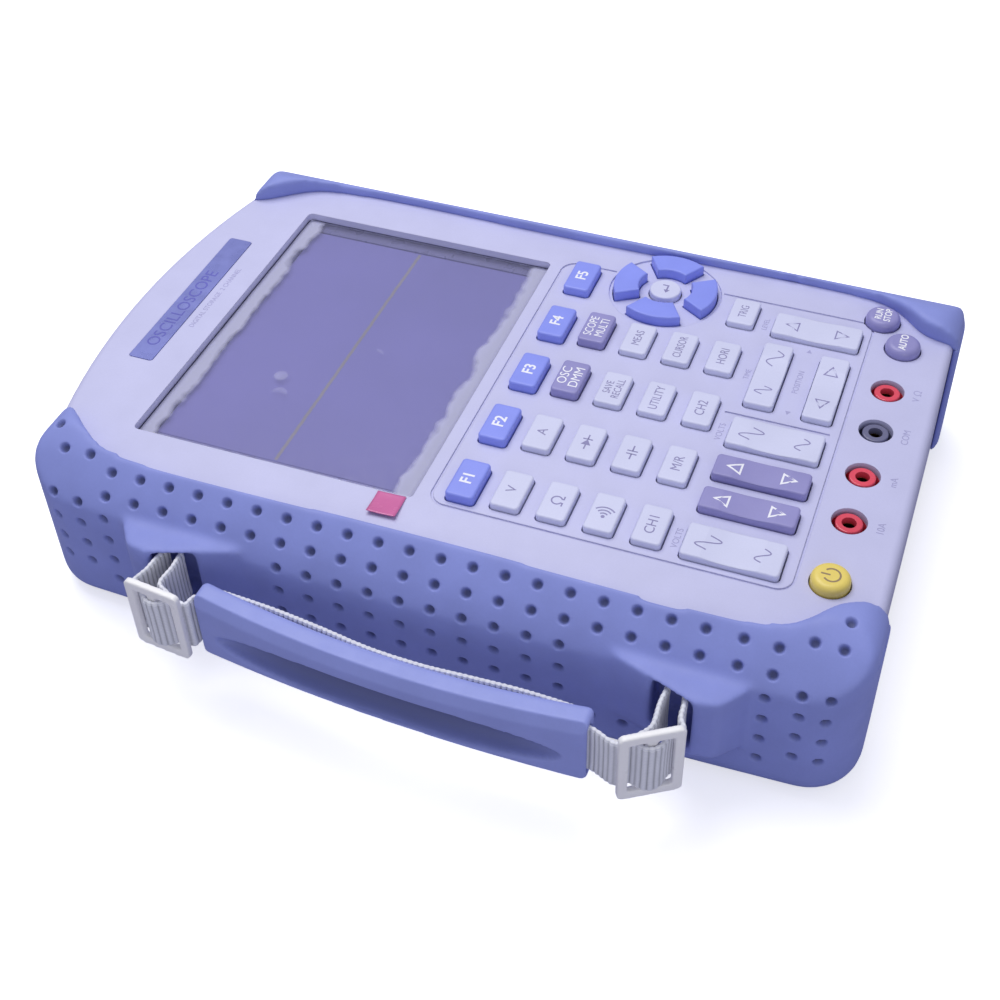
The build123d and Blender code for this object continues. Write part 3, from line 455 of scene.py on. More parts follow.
DIMPLE_PITCH = 8.81
DIMPLE_FIRST = 87.4
DIMPLE_COUNT = 22
DIMPLE_R = 1.65
DIMPLE_DEPTH = 1.5
DIMPLE_WALL = 0.5
SIDE_X = 84.0
TOP_ROW = (75.3, 46.8)
BEND_ROW = (81.1, 42.7)
SIDE_ROWS = (36.2, 28.3, 20.4, 12.6)
CORNER_COLUMNS = (
    (103.8, (48.6, 41.2, 32.4, 24.6, 17.3)), (95.6, (48.4, 40.6, 32.0, 24.4, 17.2)),
    (-105.8, (48.6, 40.2, 32.0, 24.0, 16.4)), (-113.4, (48.4, 39.6, 31.4, 23.4, 15.8)),
)
CORNER_TOP_X = 72.8
EAR_SEATS = ((66.0, -112.9, 51.9), (66.4, 108.0, 51.9))
HORN_SPANS = ((36.0, 84.0), (-94.0, -48.0))
ROWS_UNDER_HORN = SIDE_ROWS[3:]

RUBBER_VOXEL = 0.8
RUBBER_ROUNDS = 9
SPLIT_REACH = 2.6
PRESS_REACH = 2.4
AXIS_REACH = 1.5
PRESS_FACING = 0.3
PRESS_ALONG = 1.2
# Painted shade on the dimple floors: the share of the radius where it begins, and the share over
# which it grows to full.
PIT_SHADE_EDGE = 0.92
PIT_SHADE_FADE = 0.5


def dimple_seats(side):
    """Points near each dimple; the handle side leaves room for the two horns."""
    seats = []
    for i in range(DIMPLE_COUNT):
        y = DIMPLE_FIRST - i * DIMPLE_PITCH
        if side < 0:
            seats.append((TOP_ROW[0], y, TOP_ROW[1]))
        seats.append((BEND_ROW[0], y, BEND_ROW[1]))
        at_horn = side < 0 and any(low < y < high for low, high in HORN_SPANS)
        rows = ROWS_UNDER_HORN if at_horn else SIDE_ROWS
        seats += [(SIDE_X, y, z) for z in rows]
    for y, heights in CORNER_COLUMNS:
        seats += [(SIDE_X, y, z) for z in heights[1:]]
        if side < 0:
            seats.append((CORNER_TOP_X, y, heights[0]))
    if side < 0:
        seats += EAR_SEATS
    return [at(side * x, y, z) for x, y, z in seats]


def refine_round(mesh, seats, reach):
    """Splits the faces round every seat once, so that the dimples come out round."""
    tree = KDTree(len(seats))
    for i, seat in enumerate(seats):
        tree.insert(seat, i)
    tree.balance()
    bm = bmesh.new()
    bm.from_mesh(mesh)
    near = {v for v in bm.verts if tree.find(v.co)[2] < reach}
    edges = [e for e in bm.edges if e.verts[0] in near and e.verts[1] in near]
    bmesh.ops.subdivide_edges(bm, edges=edges, cuts=1, use_grid_fill=True)
    bm.to_mesh(mesh)
    bm.free()


def press_dimples(mesh, seats):
    """Pushes the mesh in round every seat, and stores painted shade for the dimple floors in a
    point attribute.
    """
    co, normals = coords_of(mesh), normals_of(mesh)
    tree = KDTree(len(co))
    for i, p in enumerate(co):
        tree.insert(p, i)
    tree.balance()
    moved = co.copy()
    painted_pit_shade = np.zeros(len(co), np.float32)
    for seat in seats:
        middle, index, _ = tree.find(seat)
        near = [i for _, i, _ in tree.find_range(middle, PRESS_REACH * MM)]
        axis = normals[[i for _, i, _ in tree.find_range(middle, AXIS_REACH * MM)]].mean(0)
        axis /= np.linalg.norm(axis)
        rel = co[near] - np.array(middle)
        along = rel @ axis
        radial = np.linalg.norm(rel - np.outer(along, axis), axis=1) / (DIMPLE_R * MM)
        t = np.clip((1.0 - radial) / DIMPLE_WALL, 0, 1)
        depth = DIMPLE_DEPTH * MM * t * t * (3 - 2 * t)
        outer = (normals[near] @ axis > PRESS_FACING) & (np.abs(along) < PRESS_ALONG * MM)
        moved[near] -= np.outer(depth * outer, axis)
        # Painted shade on the dimple floors, where shade falls.
        dimple_shade = np.clip((PIT_SHADE_EDGE - radial) / PIT_SHADE_FADE, 0, 1)
        painted_pit_shade[near] = np.maximum(painted_pit_shade[near], outer * dimple_shade)
    mesh.attributes.new("painted_pit_shade", "FLOAT", "POINT").data.foreach_set("value", painted_pit_shade)
    set_coords(mesh, moved)


# Heights of a lip's underside: where it is untouched, over what rise the move grows to
# full, and how far it reaches. SINK is the full move.
FRONT_FROM, FRONT_RISE, FRONT_TO, FRONT_SINK, FRONT_INSIDE = 47.4, 1.2, 45.0, 0.9, 73.0
REAR_FROM, REAR_RISE, REAR_TO, REAR_SINK, REAR_INSIDE = 1.4, 0.9, 3.2, 0.8, 78.0


def seat_lips(co):
    """Sinks the softened undersides of the lips into the case, front and rear."""
    z = co[:, 2] / MM
    from_middle = np.abs(co[:, 0] / MM - CENTRE_X)
    front = np.clip((FRONT_FROM - z) / FRONT_RISE, 0, 1) * (z > FRONT_TO)
    front = front * np.clip(FRONT_INSIDE - from_middle, 0, 1)
    rear = np.clip((z - REAR_FROM) / REAR_RISE, 0, 1) * (z < REAR_TO)
    rear = rear * (from_middle < REAR_INSIDE)
    co[:, 2] += (rear * REAR_SINK - front * FRONT_SINK) * MM


def build_bumper(node, side):
    """Rubber over one side of the case; side is -1 at the handle, 1 opposite."""
    mesh = soft_mesh(node, RUBBER_VOXEL, RUBBER_ROUNDS)
    co = coords_of(mesh)
    seat_lips(co)
    set_coords(mesh, co)
    seats = dimple_seats(side)
    surface = KDTree(len(co))
    for i, p in enumerate(co):
        surface.insert(p, i)
    surface.balance()
    seats = [surface.find(s)[0].copy() for s in seats]
    refine_round(mesh, seats, SPLIT_REACH * MM)
    press_dimples(mesh, seats)
    obj = add_object(node + "_rubber", mesh, M["bumper"], "housing")
    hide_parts(node)


build_bumper("left_bumper", -1)
build_bumper("right_bumper", 1)


# ---------------------------------------------------------------- handle

GRIP_ENDS = ((-99.8, 49.0), (-105.2, -60.0))
GRIP_BOW = 3.6
GRIP_OUT = 3.6
GRIP_HALF_MIDDLE = 9.4
GRIP_HALF_GAIN = 1.8
GRIP_PAST_ENDS = 4.0
# The flat's two edges, as the distance out from the grip line and the height from the top.
FLAT_TOP = (1.9, 0.0)
FLAT_SIDE = (GRIP_OUT, -3.4)
GRIP_VOXEL = 0.45
GRIP_ROUNDS = 3
GRIP_LAST_ROUNDS = 2


def grip_line(u):
    """Plan point on the grip's middle line, for u from 0 to 1 along it."""
    (x0, y0), (x1, y1) = GRIP_ENDS
    return (x0 + (x1 - x0) * u - GRIP_BOW * (1 - (2 * u - 1) ** 2), y0 + (y1 - y0) * u)


def grip_half_height(y):
    """Half height of the grip at a place along it, waisted in the middle."""
    middle = (GRIP_ENDS[0][1] + GRIP_ENDS[1][1]) / 2
    reach = (GRIP_ENDS[0][1] - GRIP_ENDS[1][1]) / 2 + GRIP_PAST_ENDS
    t = min(1.0, abs(y - middle) / reach)
    return GRIP_HALF_MIDDLE + GRIP_HALF_GAIN * t * t


HOLLOW_Y, HOLLOW_REACH = -5.0, 48.5
HOLLOW_Z, HOLLOW_HALF = 26.0, 5.2
HOLLOW_DEPTH = 5.3
HOLLOW_LEAST_HALF = 0.4
HOLLOW_LEAST_DEPTH = 0.05


def hollow_depth(y, z):
    """Depth of the finger hollow below the outer side of the grip."""
    along = abs((y - HOLLOW_Y) / HOLLOW_REACH)
    half = HOLLOW_HALF * math.sqrt(max(0.0, 1 - along ** 3))
    if half < HOLLOW_LEAST_HALF:
        return 0.0
    across = min(1.0, abs(z - HOLLOW_Z) / half)
    return HOLLOW_DEPTH * math.sqrt(1 - along ** 3) * (1 - across ** 4) ** 0.5


def build_grip():
    """Grip with the long flat along its upper outer edge, and the hollow for the fingers with
    painted shade inside it.
    """
    mesh = soft_mesh("handle_grip", GRIP_VOXEL, GRIP_ROUNDS)
    co, normals = coords_of(mesh) / MM, normals_of(mesh)
    co[:, 0] -= CENTRE_X
    painted_pit_shade = np.zeros(len(co), np.float32)
    normal = np.array((FLAT_TOP[1] - FLAT_SIDE[1], FLAT_SIDE[0] - FLAT_TOP[0]))
    normal /= np.linalg.norm(normal)
    for i, (p, facing) in enumerate(zip(co, normals)):
        u = (GRIP_ENDS[0][1] - p[1]) / (GRIP_ENDS[0][1] - GRIP_ENDS[1][1])
        middle = grip_line(u)[0]
        depth = hollow_depth(p[1], p[2])
        if facing[0] < 0.5 and depth > HOLLOW_LEAST_DEPTH:
            p[0] = max(p[0], middle - GRIP_OUT + depth)
            # Painted shade inside the finger hollow, darker where the hollow is deeper.
            painted_pit_shade[i] = min(1.0, depth / HOLLOW_DEPTH)
        over = (middle - p[0] - FLAT_TOP[0]) * normal[0]
        over += (p[2] - HANDLE_Z - grip_half_height(p[1]) - FLAT_TOP[1]) * normal[1]
        if over > 0:
            p[0] += over * normal[0]
            p[2] -= over * normal[1]
    co[:, 0] += CENTRE_X
    co *= MM
    relax(co, edges_of(mesh), GRIP_LAST_ROUNDS)
    set_coords(mesh, co)
    mesh.attributes.new("painted_pit_shade", "FLOAT", "POINT").data.foreach_set("value", painted_pit_shade)
    obj = add_object("grip_shell", mesh, M["grip"], "handle")
    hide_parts("handle_grip")


build_grip()

# Each buckle's middle in plan and its turn in degrees.
BUCKLES = ((-104.5, 59.8, -6.0), (-105.5, -75.2, 32.0))
BUCKLE_T = 2.0
BUCKLE_VOXEL = 0.35
BUCKLE_ROUNDS = 3
WEB_T = 1.15
WEB_W = 17.0
RIB_PITCH = 1.45
RIB_HEIGHT = 0.30
WEB_JITTER = 0.03
BINDING = 0.10
HORN_X = 93.0
HORN_SLOT_Y = (63.4, 75.0)
SLOT_DEPTH_X = -87.5
# Where the webbing leaves the grip: plan point and lean in degrees.
POCKETS = ((GRIP_ENDS[0][0] - 0.6, GRIP_ENDS[0][1], 4.0),
           (GRIP_ENDS[1][0] - 1.0, GRIP_ENDS[1][1], -8.0))

buckle_mesh = soft_mesh("strap_buckles", BUCKLE_VOXEL, BUCKLE_ROUNDS)
buckles = add_object("buckle_sliders", buckle_mesh, M["buckle"], "handle")
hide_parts("strap_buckles")


def on_buckle(index, along, out):
    """Plan point given in a buckle's own directions."""
    x, y, turn = BUCKLES[index]
    a = math.radians(turn)
    return (x - along * math.sin(a) - out * math.cos(a),
            y + along * math.cos(a) - out * math.sin(a))


def smooth_path(points, step=0.24):
    """Points close together along a Catmull-Rom curve through the given ones."""
    p = [np.array(q, float) for q in points]
    p = [2 * p[0] - p[1]] + p + [2 * p[-1] - p[-2]]
    out = []
    for a, b, c, d in zip(p, p[1:], p[2:], p[3:]):
        count = max(2, int(np.linalg.norm(c - b) / step))
        for k in range(count):
            t = k / count
            out.append(0.5 * (2 * b + (c - a) * t + (2 * a - 5 * b + 4 * c - d) * t ** 2
                              + (3 * b - a - 3 * c + d) * t ** 3))
    out.append(p[-2])
    return out


def loft(rings):
    """Faces between rings of vertex numbers, with both ends closed."""
    faces = []
    for a, b in zip(rings, rings[1:]):
        n = len(a)
        faces += [(a[k], a[(k + 1) % n], b[(k + 1) % n], b[k]) for k in range(n)]
    return faces + [tuple(rings[0][::-1]), tuple(rings[-1])]


RISE = [-0.5, -0.485, -0.44] + [-0.36 + 0.72 * k / 8 for k in range(9)] + [0.44, 0.485, 0.5]


def ribbon(name, points, width=WEB_W, lift=0.0):
    """Webbing standing on edge along a plan line, with ribs across it."""
    line = smooth_path(points)
    verts, rings, rib_gap_shades = [], [], []
    travel = 0.0
    rng = random.Random(name)
    for i, p in enumerate(line):
        before, after = line[max(i - 1, 0)], line[min(i + 1, len(line) - 1)]
        travel += float(np.linalg.norm(p - before))
        ahead = (after - before) / max(np.linalg.norm(after - before), 1e-9)
        across = np.array((-ahead[1], ahead[0]))
        crest = abs(math.sin(math.pi * travel / RIB_PITCH))
        rib = RIB_HEIGHT * (crest - 0.5)
        z_mid = HANDLE_Z + lift
        ring = []
        for side in (1, -1):
            for r in RISE if side > 0 else RISE[::-1]:
                thin = 1.0 if abs(r) < 0.45 else (0.75 if abs(r) < 0.49 else 0.35)
                bind = BINDING if 0.30 < abs(r) < 0.45 else 0.0
                half = (WEB_T / 2 + rib + bind) * thin
                jitter = rng.uniform(-WEB_JITTER, WEB_JITTER)
                q = p + across * side * (half + jitter)
                ring.append(len(verts))
                # Painted shade in the grooves between the ribs, stored for the webbing material.
                rib_gap_shades.append((1 - crest) ** 2.0 * (0.9 if thin == 1.0 else 0.2))
                verts.append((q[0], q[1], z_mid + r * width + jitter))
        rings.append(ring)
    obj = from_points(name, verts, loft(rings), M["webbing"], None)
    obj.data.attributes.new("rib_gap_shade", "FLOAT", "POINT").data.foreach_set("value", rib_gap_shades)
    return obj


def outer_run(index, end):
    """Plan line from the grip, through the buckle and into the horn's slot."""
    x, y, turn = POCKETS[index]
    lean = math.tan(math.radians(turn))
    low, high = HORN_SLOT_Y
    slot = HANDLE_Y + end * (low + high) / 2
    behind = BUCKLE_T / 2 + WEB_T / 2 + 0.15
    start = [(x + end * 4.0 * lean, y - end * 4.0), (x - 0.1, y + end * 0.8)]
    weave = [on_buckle(index, end * along, out) for along, out in
             ((-8.6, -behind), (-5.2, -behind), (-1.6, behind * 0.8), (1.6, behind * 0.8),
              (5.2, -behind), (8.4, -behind - 0.2))]
    mouth = [(-HORN_X - 3.0, HANDLE_Y + end * (high - 1.8)),
             (-HORN_X + 1.5, slot + end * 3.6), (SLOT_DEPTH_X, slot + end * 2.8)]
    return start + weave + mouth


def inner_run(index, end):
    """Plan line of the returning webbing, from the slot to the back of the buckle."""
    slot = HANDLE_Y + end * sum(HORN_SLOT_Y) / 2
    behind = BUCKLE_T / 2 + WEB_T / 2 + 0.15
    return [(SLOT_DEPTH_X, slot - end * 1.6), (-HORN_X - 0.5, slot - end * 2.0),
            on_buckle(index, end * 1.6, -behind - WEB_T - 2.2),
            on_buckle(index, -end * 2.5, -behind - WEB_T - 0.1)]


for index, end, tag in ((0, 1, "top"), (1, -1, "low")):
    for layer, run in (("outer", outer_run), ("inner", inner_run)):
        strap = ribbon(f"webbing_{tag}_{layer}", run(index, end))
        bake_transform(strap)
        if (tag, layer) == ("top", "outer"):
            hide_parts("handle_webbing")


def inside_grip(u, gap):
    """Plan point beside the inner side of the grip."""
    x, y = grip_line(u)
    return (x + GRIP_OUT + WEB_T / 2 + gap, y)


# Places along the grip and the webbing's gap to it there.
LINER_GAPS = ((0.035, -0.9), (0.10, -0.1), (0.20, 0.7), (0.32, 0.6), (0.45, -0.3), (0.58, -0.3),
              (0.70, 0.4), (0.82, 0.6), (0.92, -0.2), (0.965, -0.9))
liner = ribbon("webbing_liner", [inside_grip(u, g) for u, g in LINER_GAPS], WEB_W + 1.0, 0.2)
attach(liner, "handle")


# ---------------------------------------------------------------- printing and legends

LINE_SPACE = 0.92
DRAPE_EDGE = 0.45
DRAPE_ROUNDS = 4


class Print:
    """Flat ink shapes in plan, gathered into one thin mesh."""

    def __init__(self):
        self.bm = bmesh.new()

    def text(self, body, x, y, size, bold=0.0, squeeze=1.0):
        curve = bpy.data.curves.new("type", "FONT")
        curve.body, curve.size, curve.offset = body, size, bold
        curve.align_x = curve.align_y = "CENTER"
        curve.resolution_u, curve.space_line = 4, LINE_SPACE
        obj = bpy.data.objects.new("type", curve)
        bpy.context.scene.collection.objects.link(obj)
        graph = bpy.context.evaluated_depsgraph_get()
        mesh = bpy.data.meshes.new_from_object(obj.evaluated_get(graph))
        mesh.transform(Matrix.Translation((x, y, 0)) @ Matrix.Diagonal((squeeze, 1, 1, 1)))
        self.bm.from_mesh(mesh)
        bpy.data.objects.remove(obj)
        return self

    def fill(self, points):
        self.bm.faces.new([self.bm.verts.new((x, y, 0)) for x, y in points])
        return self

    def stroke(self, points, width, closed=False):
        p = [np.array(q, float) for q in points]
        left, right = [], []
        for i, q in enumerate(p):
            before = p[i - 1] if i or closed else q
            after = p[(i + 1) % len(p)] if i < len(p) - 1 or closed else q
            d0 = (q - before) / max(np.linalg.norm(q - before), 1e-9)
            d1 = (after - q) / max(np.linalg.norm(after - q), 1e-9)
            ahead = d0 + d1
            ahead /= max(np.linalg.norm(ahead), 1e-9)
            across = np.array((-ahead[1], ahead[0]))
            lone = d1 if not d0.any() else d0
            reach = width / 2 / max(0.45, abs(float(across @ np.array((-lone[1], lone[0])))))
            left.append(self.bm.verts.new((*(q + across * reach), 0)))
            right.append(self.bm.verts.new((*(q - across * reach), 0)))
        last = len(p) if closed else len(p) - 1
        for i in range(last):
            j = (i + 1) % len(p)
            self.bm.faces.new((left[i], right[i], right[j], left[j]))
        return self

    def build(self, name, height, material, body, slot):
        """height is a number or a function of plan x and y."""
        bmesh.ops.remove_doubles(self.bm, verts=self.bm.verts, dist=1e-4)
        for _ in range(DRAPE_ROUNDS if callable(height) else 0):
            long = [e for e in self.bm.edges if e.calc_length() > DRAPE_EDGE]
            bmesh.ops.subdivide_edges(self.bm, edges=long, cuts=1)
        for v in self.bm.verts:
            z = height(v.co.x, v.co.y) if callable(height) else height
            v.co = at(v.co.x, v.co.y, z + PRINT_RISE)
        for face in self.bm.faces:
            face.normal_update()
            if face.normal.z < 0:
                face.normal_flip()
        mesh = bpy.data.meshes.new(name)
        self.bm.to_mesh(mesh)
        self.bm.free()
        obj = add_object(name, mesh, material, body, False)
        thick = obj.modifiers.new("thick", "SOLIDIFY")
        thick.thickness, thick.offset = PRINT_DEPTH * MM, -1.0
        return obj


def arc(cx, cy, radius, start, end, steps):
    return [(cx + radius * math.cos(math.radians(start + (end - start) * k / steps)),
             cy + radius * math.sin(math.radians(start + (end - start) * k / steps)))
            for k in range(steps + 1)]


def key_middle(node):
    """Plan middle of a key and the height of its top."""
    low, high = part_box(node)
    middle = plan((low + high) / 2)
    return middle.x, middle.y, high.z / MM


# node: (text, size, squeeze, ink, bold)
TEXT_KEYS = {f"key_f{i}": (f"F{i}", 4.7, 1.0, "ink_white", 0.10) for i in range(1, 6)}
TEXT_KEYS |= {
    "key_volts": ("V", 4.0, 1.0, "ink_grey", 0.0), "key_amps": ("A", 4.0, 1.0, "ink_grey", 0.0),
    "key_mode": ("OSC\nDMM", 4.0, 1.0, "ink_white", 0.0),
    "key_multi": ("SCOPE\nMULTI", 3.7, 0.85, "ink_white", 0.0),
    "key_save": ("SAVE\nRECALL", 3.2, 0.78, "ink_grey", 0.0),
    "key_measure": ("MEAS", 3.5, 0.85, "ink_grey", 0.0),
    "key_utility": ("UTILITY", 3.7, 0.80, "ink_grey", 0.0),
    "key_cursor": ("CURSOR", 3.5, 0.74, "ink_grey", 0.0),
    "key_channel_1": ("CH1", 4.0, 0.95, "ink_grey", 0.0),
    "key_channel_2": ("CH2", 4.0, 0.85, "ink_grey", 0.0),
    "key_math": ("M/R", 4.0, 0.9, "ink_grey", 0.0),
    "key_sweep": ("HORI", 3.7, 0.85, "ink_grey", 0.0),
    "key_trigger": ("TRIG", 3.5, 0.8, "ink_grey", 0.0),
    "key_run": ("RUN\nSTOP", 2.9, 0.9, "ink_white", 0.05),
    "key_auto": ("AUTO", 3.1, 0.85, "ink_white", 0.08),
}
for node, (words, size, squeeze, ink, bold) in TEXT_KEYS.items():
    x, y, top = key_middle(node)
    sheet = Print().text(words, x, y, size, bold, squeeze)
    sheet.build("legend_" + node[4:], top, M[ink], node + "_cap", NODE_SLOTS[node])


def symbol(node, strokes, fills=(), ink="ink_grey", width=0.42):
    """Drawn legend on a key, in millimetres about the key's middle."""
    x, y, top = key_middle(node)
    sheet = Print()
    for points, closed in strokes:
        sheet.stroke([(x + px, y + py) for px, py in points], width, closed)
    for points in fills:
        sheet.fill([(x + px, y + py) for px, py in points])
    sheet.build("legend_" + node[4:], top, M[ink], node + "_cap", NODE_SLOTS[node])


symbol("key_ohms", [([(-1.9, -1.5), (-0.75, -1.5)] + arc(0, 0.25, 1.45, 240, -60, 20)
                     + [(0.75, -1.5), (1.9, -1.5)], False)])
symbol("key_diode", [([(-3.0, 0), (-1.2, 0)], False), ([(1.1, 0), (3.0, 0)], False),
                     ([(1.15, -1.4), (1.15, 1.4)], False)],
       [[(-1.2, -1.4), (1.0, 0), (-1.2, 1.4)]])
symbol("key_farads", [([(-2.8, 0), (-0.6, 0)], False), ([(0.6, 0), (2.8, 0)], False),
                      ([(-0.6, -1.5), (-0.6, 1.5)], False), ([(0.6, -1.5), (0.6, 1.5)], False)])
symbol("key_beeper", [(arc(-1.8, 0, r, -48, 48, 8), False) for r in (1.3, 2.4, 3.5)],
       [arc(-1.8, 0, 0.55, 0, 330, 11)])
symbol("key_enter", [([(1.7, 1.3), (1.7, -0.5), (-0.6, -0.5)], False)],
       [[(-0.5, 0.45), (-2.0, -0.5), (-0.5, -1.45)]], "ink_grey", 0.5)
symbol("key_power", [(arc(0, -0.1, 2.2, 130, 410, 22), False), ([(0, 0.3), (0, 2.7)], False)],
       (), "ink_brown", 0.5)

SAG_R = 60.0
SAG_DEPTH = 0.5
WAVE_LINE = 0.38
POINTER_REACH = 7.4
POINTER_SIZE = 3.7


def wave(x, y, length, swing, steps=28):
    """One period of a sine wave about a plan point."""
    return [(x + length * (k / steps - 0.5), y + swing * math.sin(2 * math.pi * k / steps))
            for k in range(steps + 1)]


def triangle(x, y, turn, size):
    """Pointer with its tip at the given turn from +Y."""
    a = math.radians(turn)
    shape = ((0, 0.55), (-0.52, -0.45), (0.52, -0.45))
    return [(x + size * (px * math.cos(a) - py * math.sin(a)),
             y + size * (px * math.sin(a) + py * math.cos(a))) for px, py in shape]


def rocker_sheet(node):
    """Empty ink, the rocker's middle, its direction and the height of its saddled top."""
    low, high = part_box(node)
    x, y, top = key_middle(node)
    along_x = high.x - low.x > high.y - low.y

    def height(px, py):
        t = px - x if along_x else py - y
        return min(top, top - SAG_DEPTH + SAG_R - math.sqrt(SAG_R ** 2 - t * t))
    return Print(), x, y, along_x, height


def finish_rocker(sheet, node, height, ink):
    sheet.build("legend_" + node, height, M[ink], node + "_bar", NODE_SLOTS[node])


for node in ("rocker_volts_1", "rocker_volts_2"):
    sheet, x, y, _, height = rocker_sheet(node)
    sheet.stroke(wave(x, y + 6.8, 5.2, 3.3), WAVE_LINE)
    sheet.stroke(wave(x, y - 7.6, 5.0, 1.9), WAVE_LINE)
    finish_rocker(sheet, node, height, "ink_grey")
sheet, x, y, _, height = rocker_sheet("rocker_time")
sheet.stroke(wave(x + 7.6, y, 7.0, 2.2), WAVE_LINE)
sheet.stroke(wave(x - 7.6, y, 3.9, 2.3), WAVE_LINE)
finish_rocker(sheet, "rocker_time", height, "ink_grey")
for node, ink, width in (("rocker_position_1", "ink_white", 0.55),
                         ("rocker_position_2", "ink_white", 0.55),
                         ("rocker_trace", "ink_grey", 0.4), ("rocker_level", "ink_grey", 0.4)):
    sheet, x, y, along_x, height = rocker_sheet(node)
    for end in (-1, 1):
        turn = -90 * end if along_x else (0 if end > 0 else 180)
        reach = POINTER_REACH * end
        px, py = (x + reach, y) if along_x else (x, y + reach)
        sheet.stroke(triangle(px, py, turn, POINTER_SIZE), width, True)
    finish_rocker(sheet, node, height, ink)

JACK_PRINT_Y = -114.0
JACK_PRINT_SIZE = 2.9
POSITION_Y = -80.3
LABEL_SQUEEZE = 0.95
LABELS = (
    # text, x, y, size
    ("VOLTS", -47.2, -64.3, 2.6), ("VOLTS", -3.3, -64.3, 2.6),
    ("POSITION", 25.0, POSITION_Y, 2.5),
    ("10A", -26.4, JACK_PRINT_Y, JACK_PRINT_SIZE), ("mA", -7.8, JACK_PRINT_Y, JACK_PRINT_SIZE),
    ("COM", 11.4, JACK_PRINT_Y, JACK_PRINT_SIZE),
    ("LEVEL", 48.4, -65.0, 2.3), ("TIME", 23.6, -65.4, 2.3),
)
labels = Print()
for words, x, y, size in LABELS:
    labels.text(words, x, y, size, 0.0, LABEL_SQUEEZE)
for x, end in ((39.2, 1), (11.4, -1)):
    pointer = [(x + end * 1.6, POSITION_Y), (x, POSITION_Y + 0.8), (x, POSITION_Y - 0.8)]
    labels.fill(pointer[::end])
x_volt, y_volt = 28.4, JACK_PRINT_Y
labels.text("V", x_volt, y_volt, JACK_PRINT_SIZE)
labels.stroke([(x_volt + 2.0, y_volt - 0.9), (x_volt + 2.7, y_volt - 0.9)]
              + arc(x_volt + 3.1, y_volt + 0.2, 0.95, 240, -60, 16)
              + [(x_volt + 3.5, y_volt - 0.9), (x_volt + 4.2, y_volt - 0.9)], 0.25)
labels.build("face_print", FACE_Z, M["ink_pale"], "housing", "face")

badge_low, badge_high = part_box("nameplate")
badge = plan((badge_low + badge_high) / 2)
badge_top = badge_high.z / MM
SUBTITLE_Y = 99.6
Print().text("OSCILLOSCOPE", badge.x - 6.0, badge.y, 5.6).build(
    "badge_print", badge_top, M["ink_dark"], "housing", "plate")
subtitle = "DIGITAL STORAGE  2 CHANNEL"
Print().text(subtitle, badge.x + 2.0, SUBTITLE_Y, 2.3, 0.0, LABEL_SQUEEZE).build(
    "badge_subtitle", FACE_Z, M["ink_pale"], "housing", "face")


# ---------------------------------------------------------------- display

def rounded_plate(name, x0, x1, y0, y1, z0, z1, radius, material, slot):
    """Plate with rounded corners and a softened upper edge."""
    outline = []
    for cx, cy, start in ((x1 - radius, y1 - radius, 0), (x0 + radius, y1 - radius, 90),
                          (x0 + radius, y0 + radius, 180), (x1 - radius, y0 + radius, 270)):
        outline += arc(cx, cy, radius, start, start + 90, 6)
    n = len(outline)
    soft = min(0.15, (z1 - z0) / 3)
    mid_x, mid_y = (x0 + x1) / 2, (y0 + y1) / 2
    rings = ((0.0, z0), (0.0, z1 - soft), (soft, z1))
    verts = []
    for inset, z in rings:
        for px, py in outline:
            verts.append((px - math.copysign(inset, px - mid_x),
                          py - math.copysign(inset, py - mid_y), z))
    faces = [tuple(range(n))[::-1], tuple(range(2 * n, 3 * n))]
    for r in (0, 1):
        faces += [(r * n + k, r * n + (k + 1) % n, (r + 1) * n + (k + 1) % n, (r + 1) * n + k)
                  for k in range(n)]
    return from_points(name, verts, faces, material, "housing", False)


window_low, window_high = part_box("display_window")
view_low, view_high = plan(window_low), plan(window_high)
PANEL_Z = 41.52
PANEL_TOP = PANEL_Z + 0.4
PANEL_CORNER = 0.8
VIEW = (-52.2, 52.2, 11.5, 88.0)
TRACE_Y = (VIEW[2] + VIEW[3]) / 2 + 1.0
TRACE_STEPS = 90
TRACE_NOISE = 0.10
TRACE_INSET = 0.6
rounded_plate("display_panel", *VIEW, PANEL_Z, PANEL_TOP, PANEL_CORNER, M["panel"], "lcd")
jag = random.Random(7)
trace_length = VIEW[1] - VIEW[0] - 2 * TRACE_INSET
trace = [(VIEW[0] + TRACE_INSET + k * trace_length / TRACE_STEPS,
          TRACE_Y + jag.uniform(-TRACE_NOISE, TRACE_NOISE)) for k in range(TRACE_STEPS + 1)]
Print().stroke(trace, 1.0).build("display_trace", PANEL_TOP, M["trace"], "housing", "lcd")

FILM_INSET = 2.7
FILM_INSET_LEFT = 2.6
FILM_GAP = 0.06
FILM_T = 0.12
FILM_CELLS = (60, 48)
FILM_LUMPS = 46
FILM_MOST_LIFT = 0.6


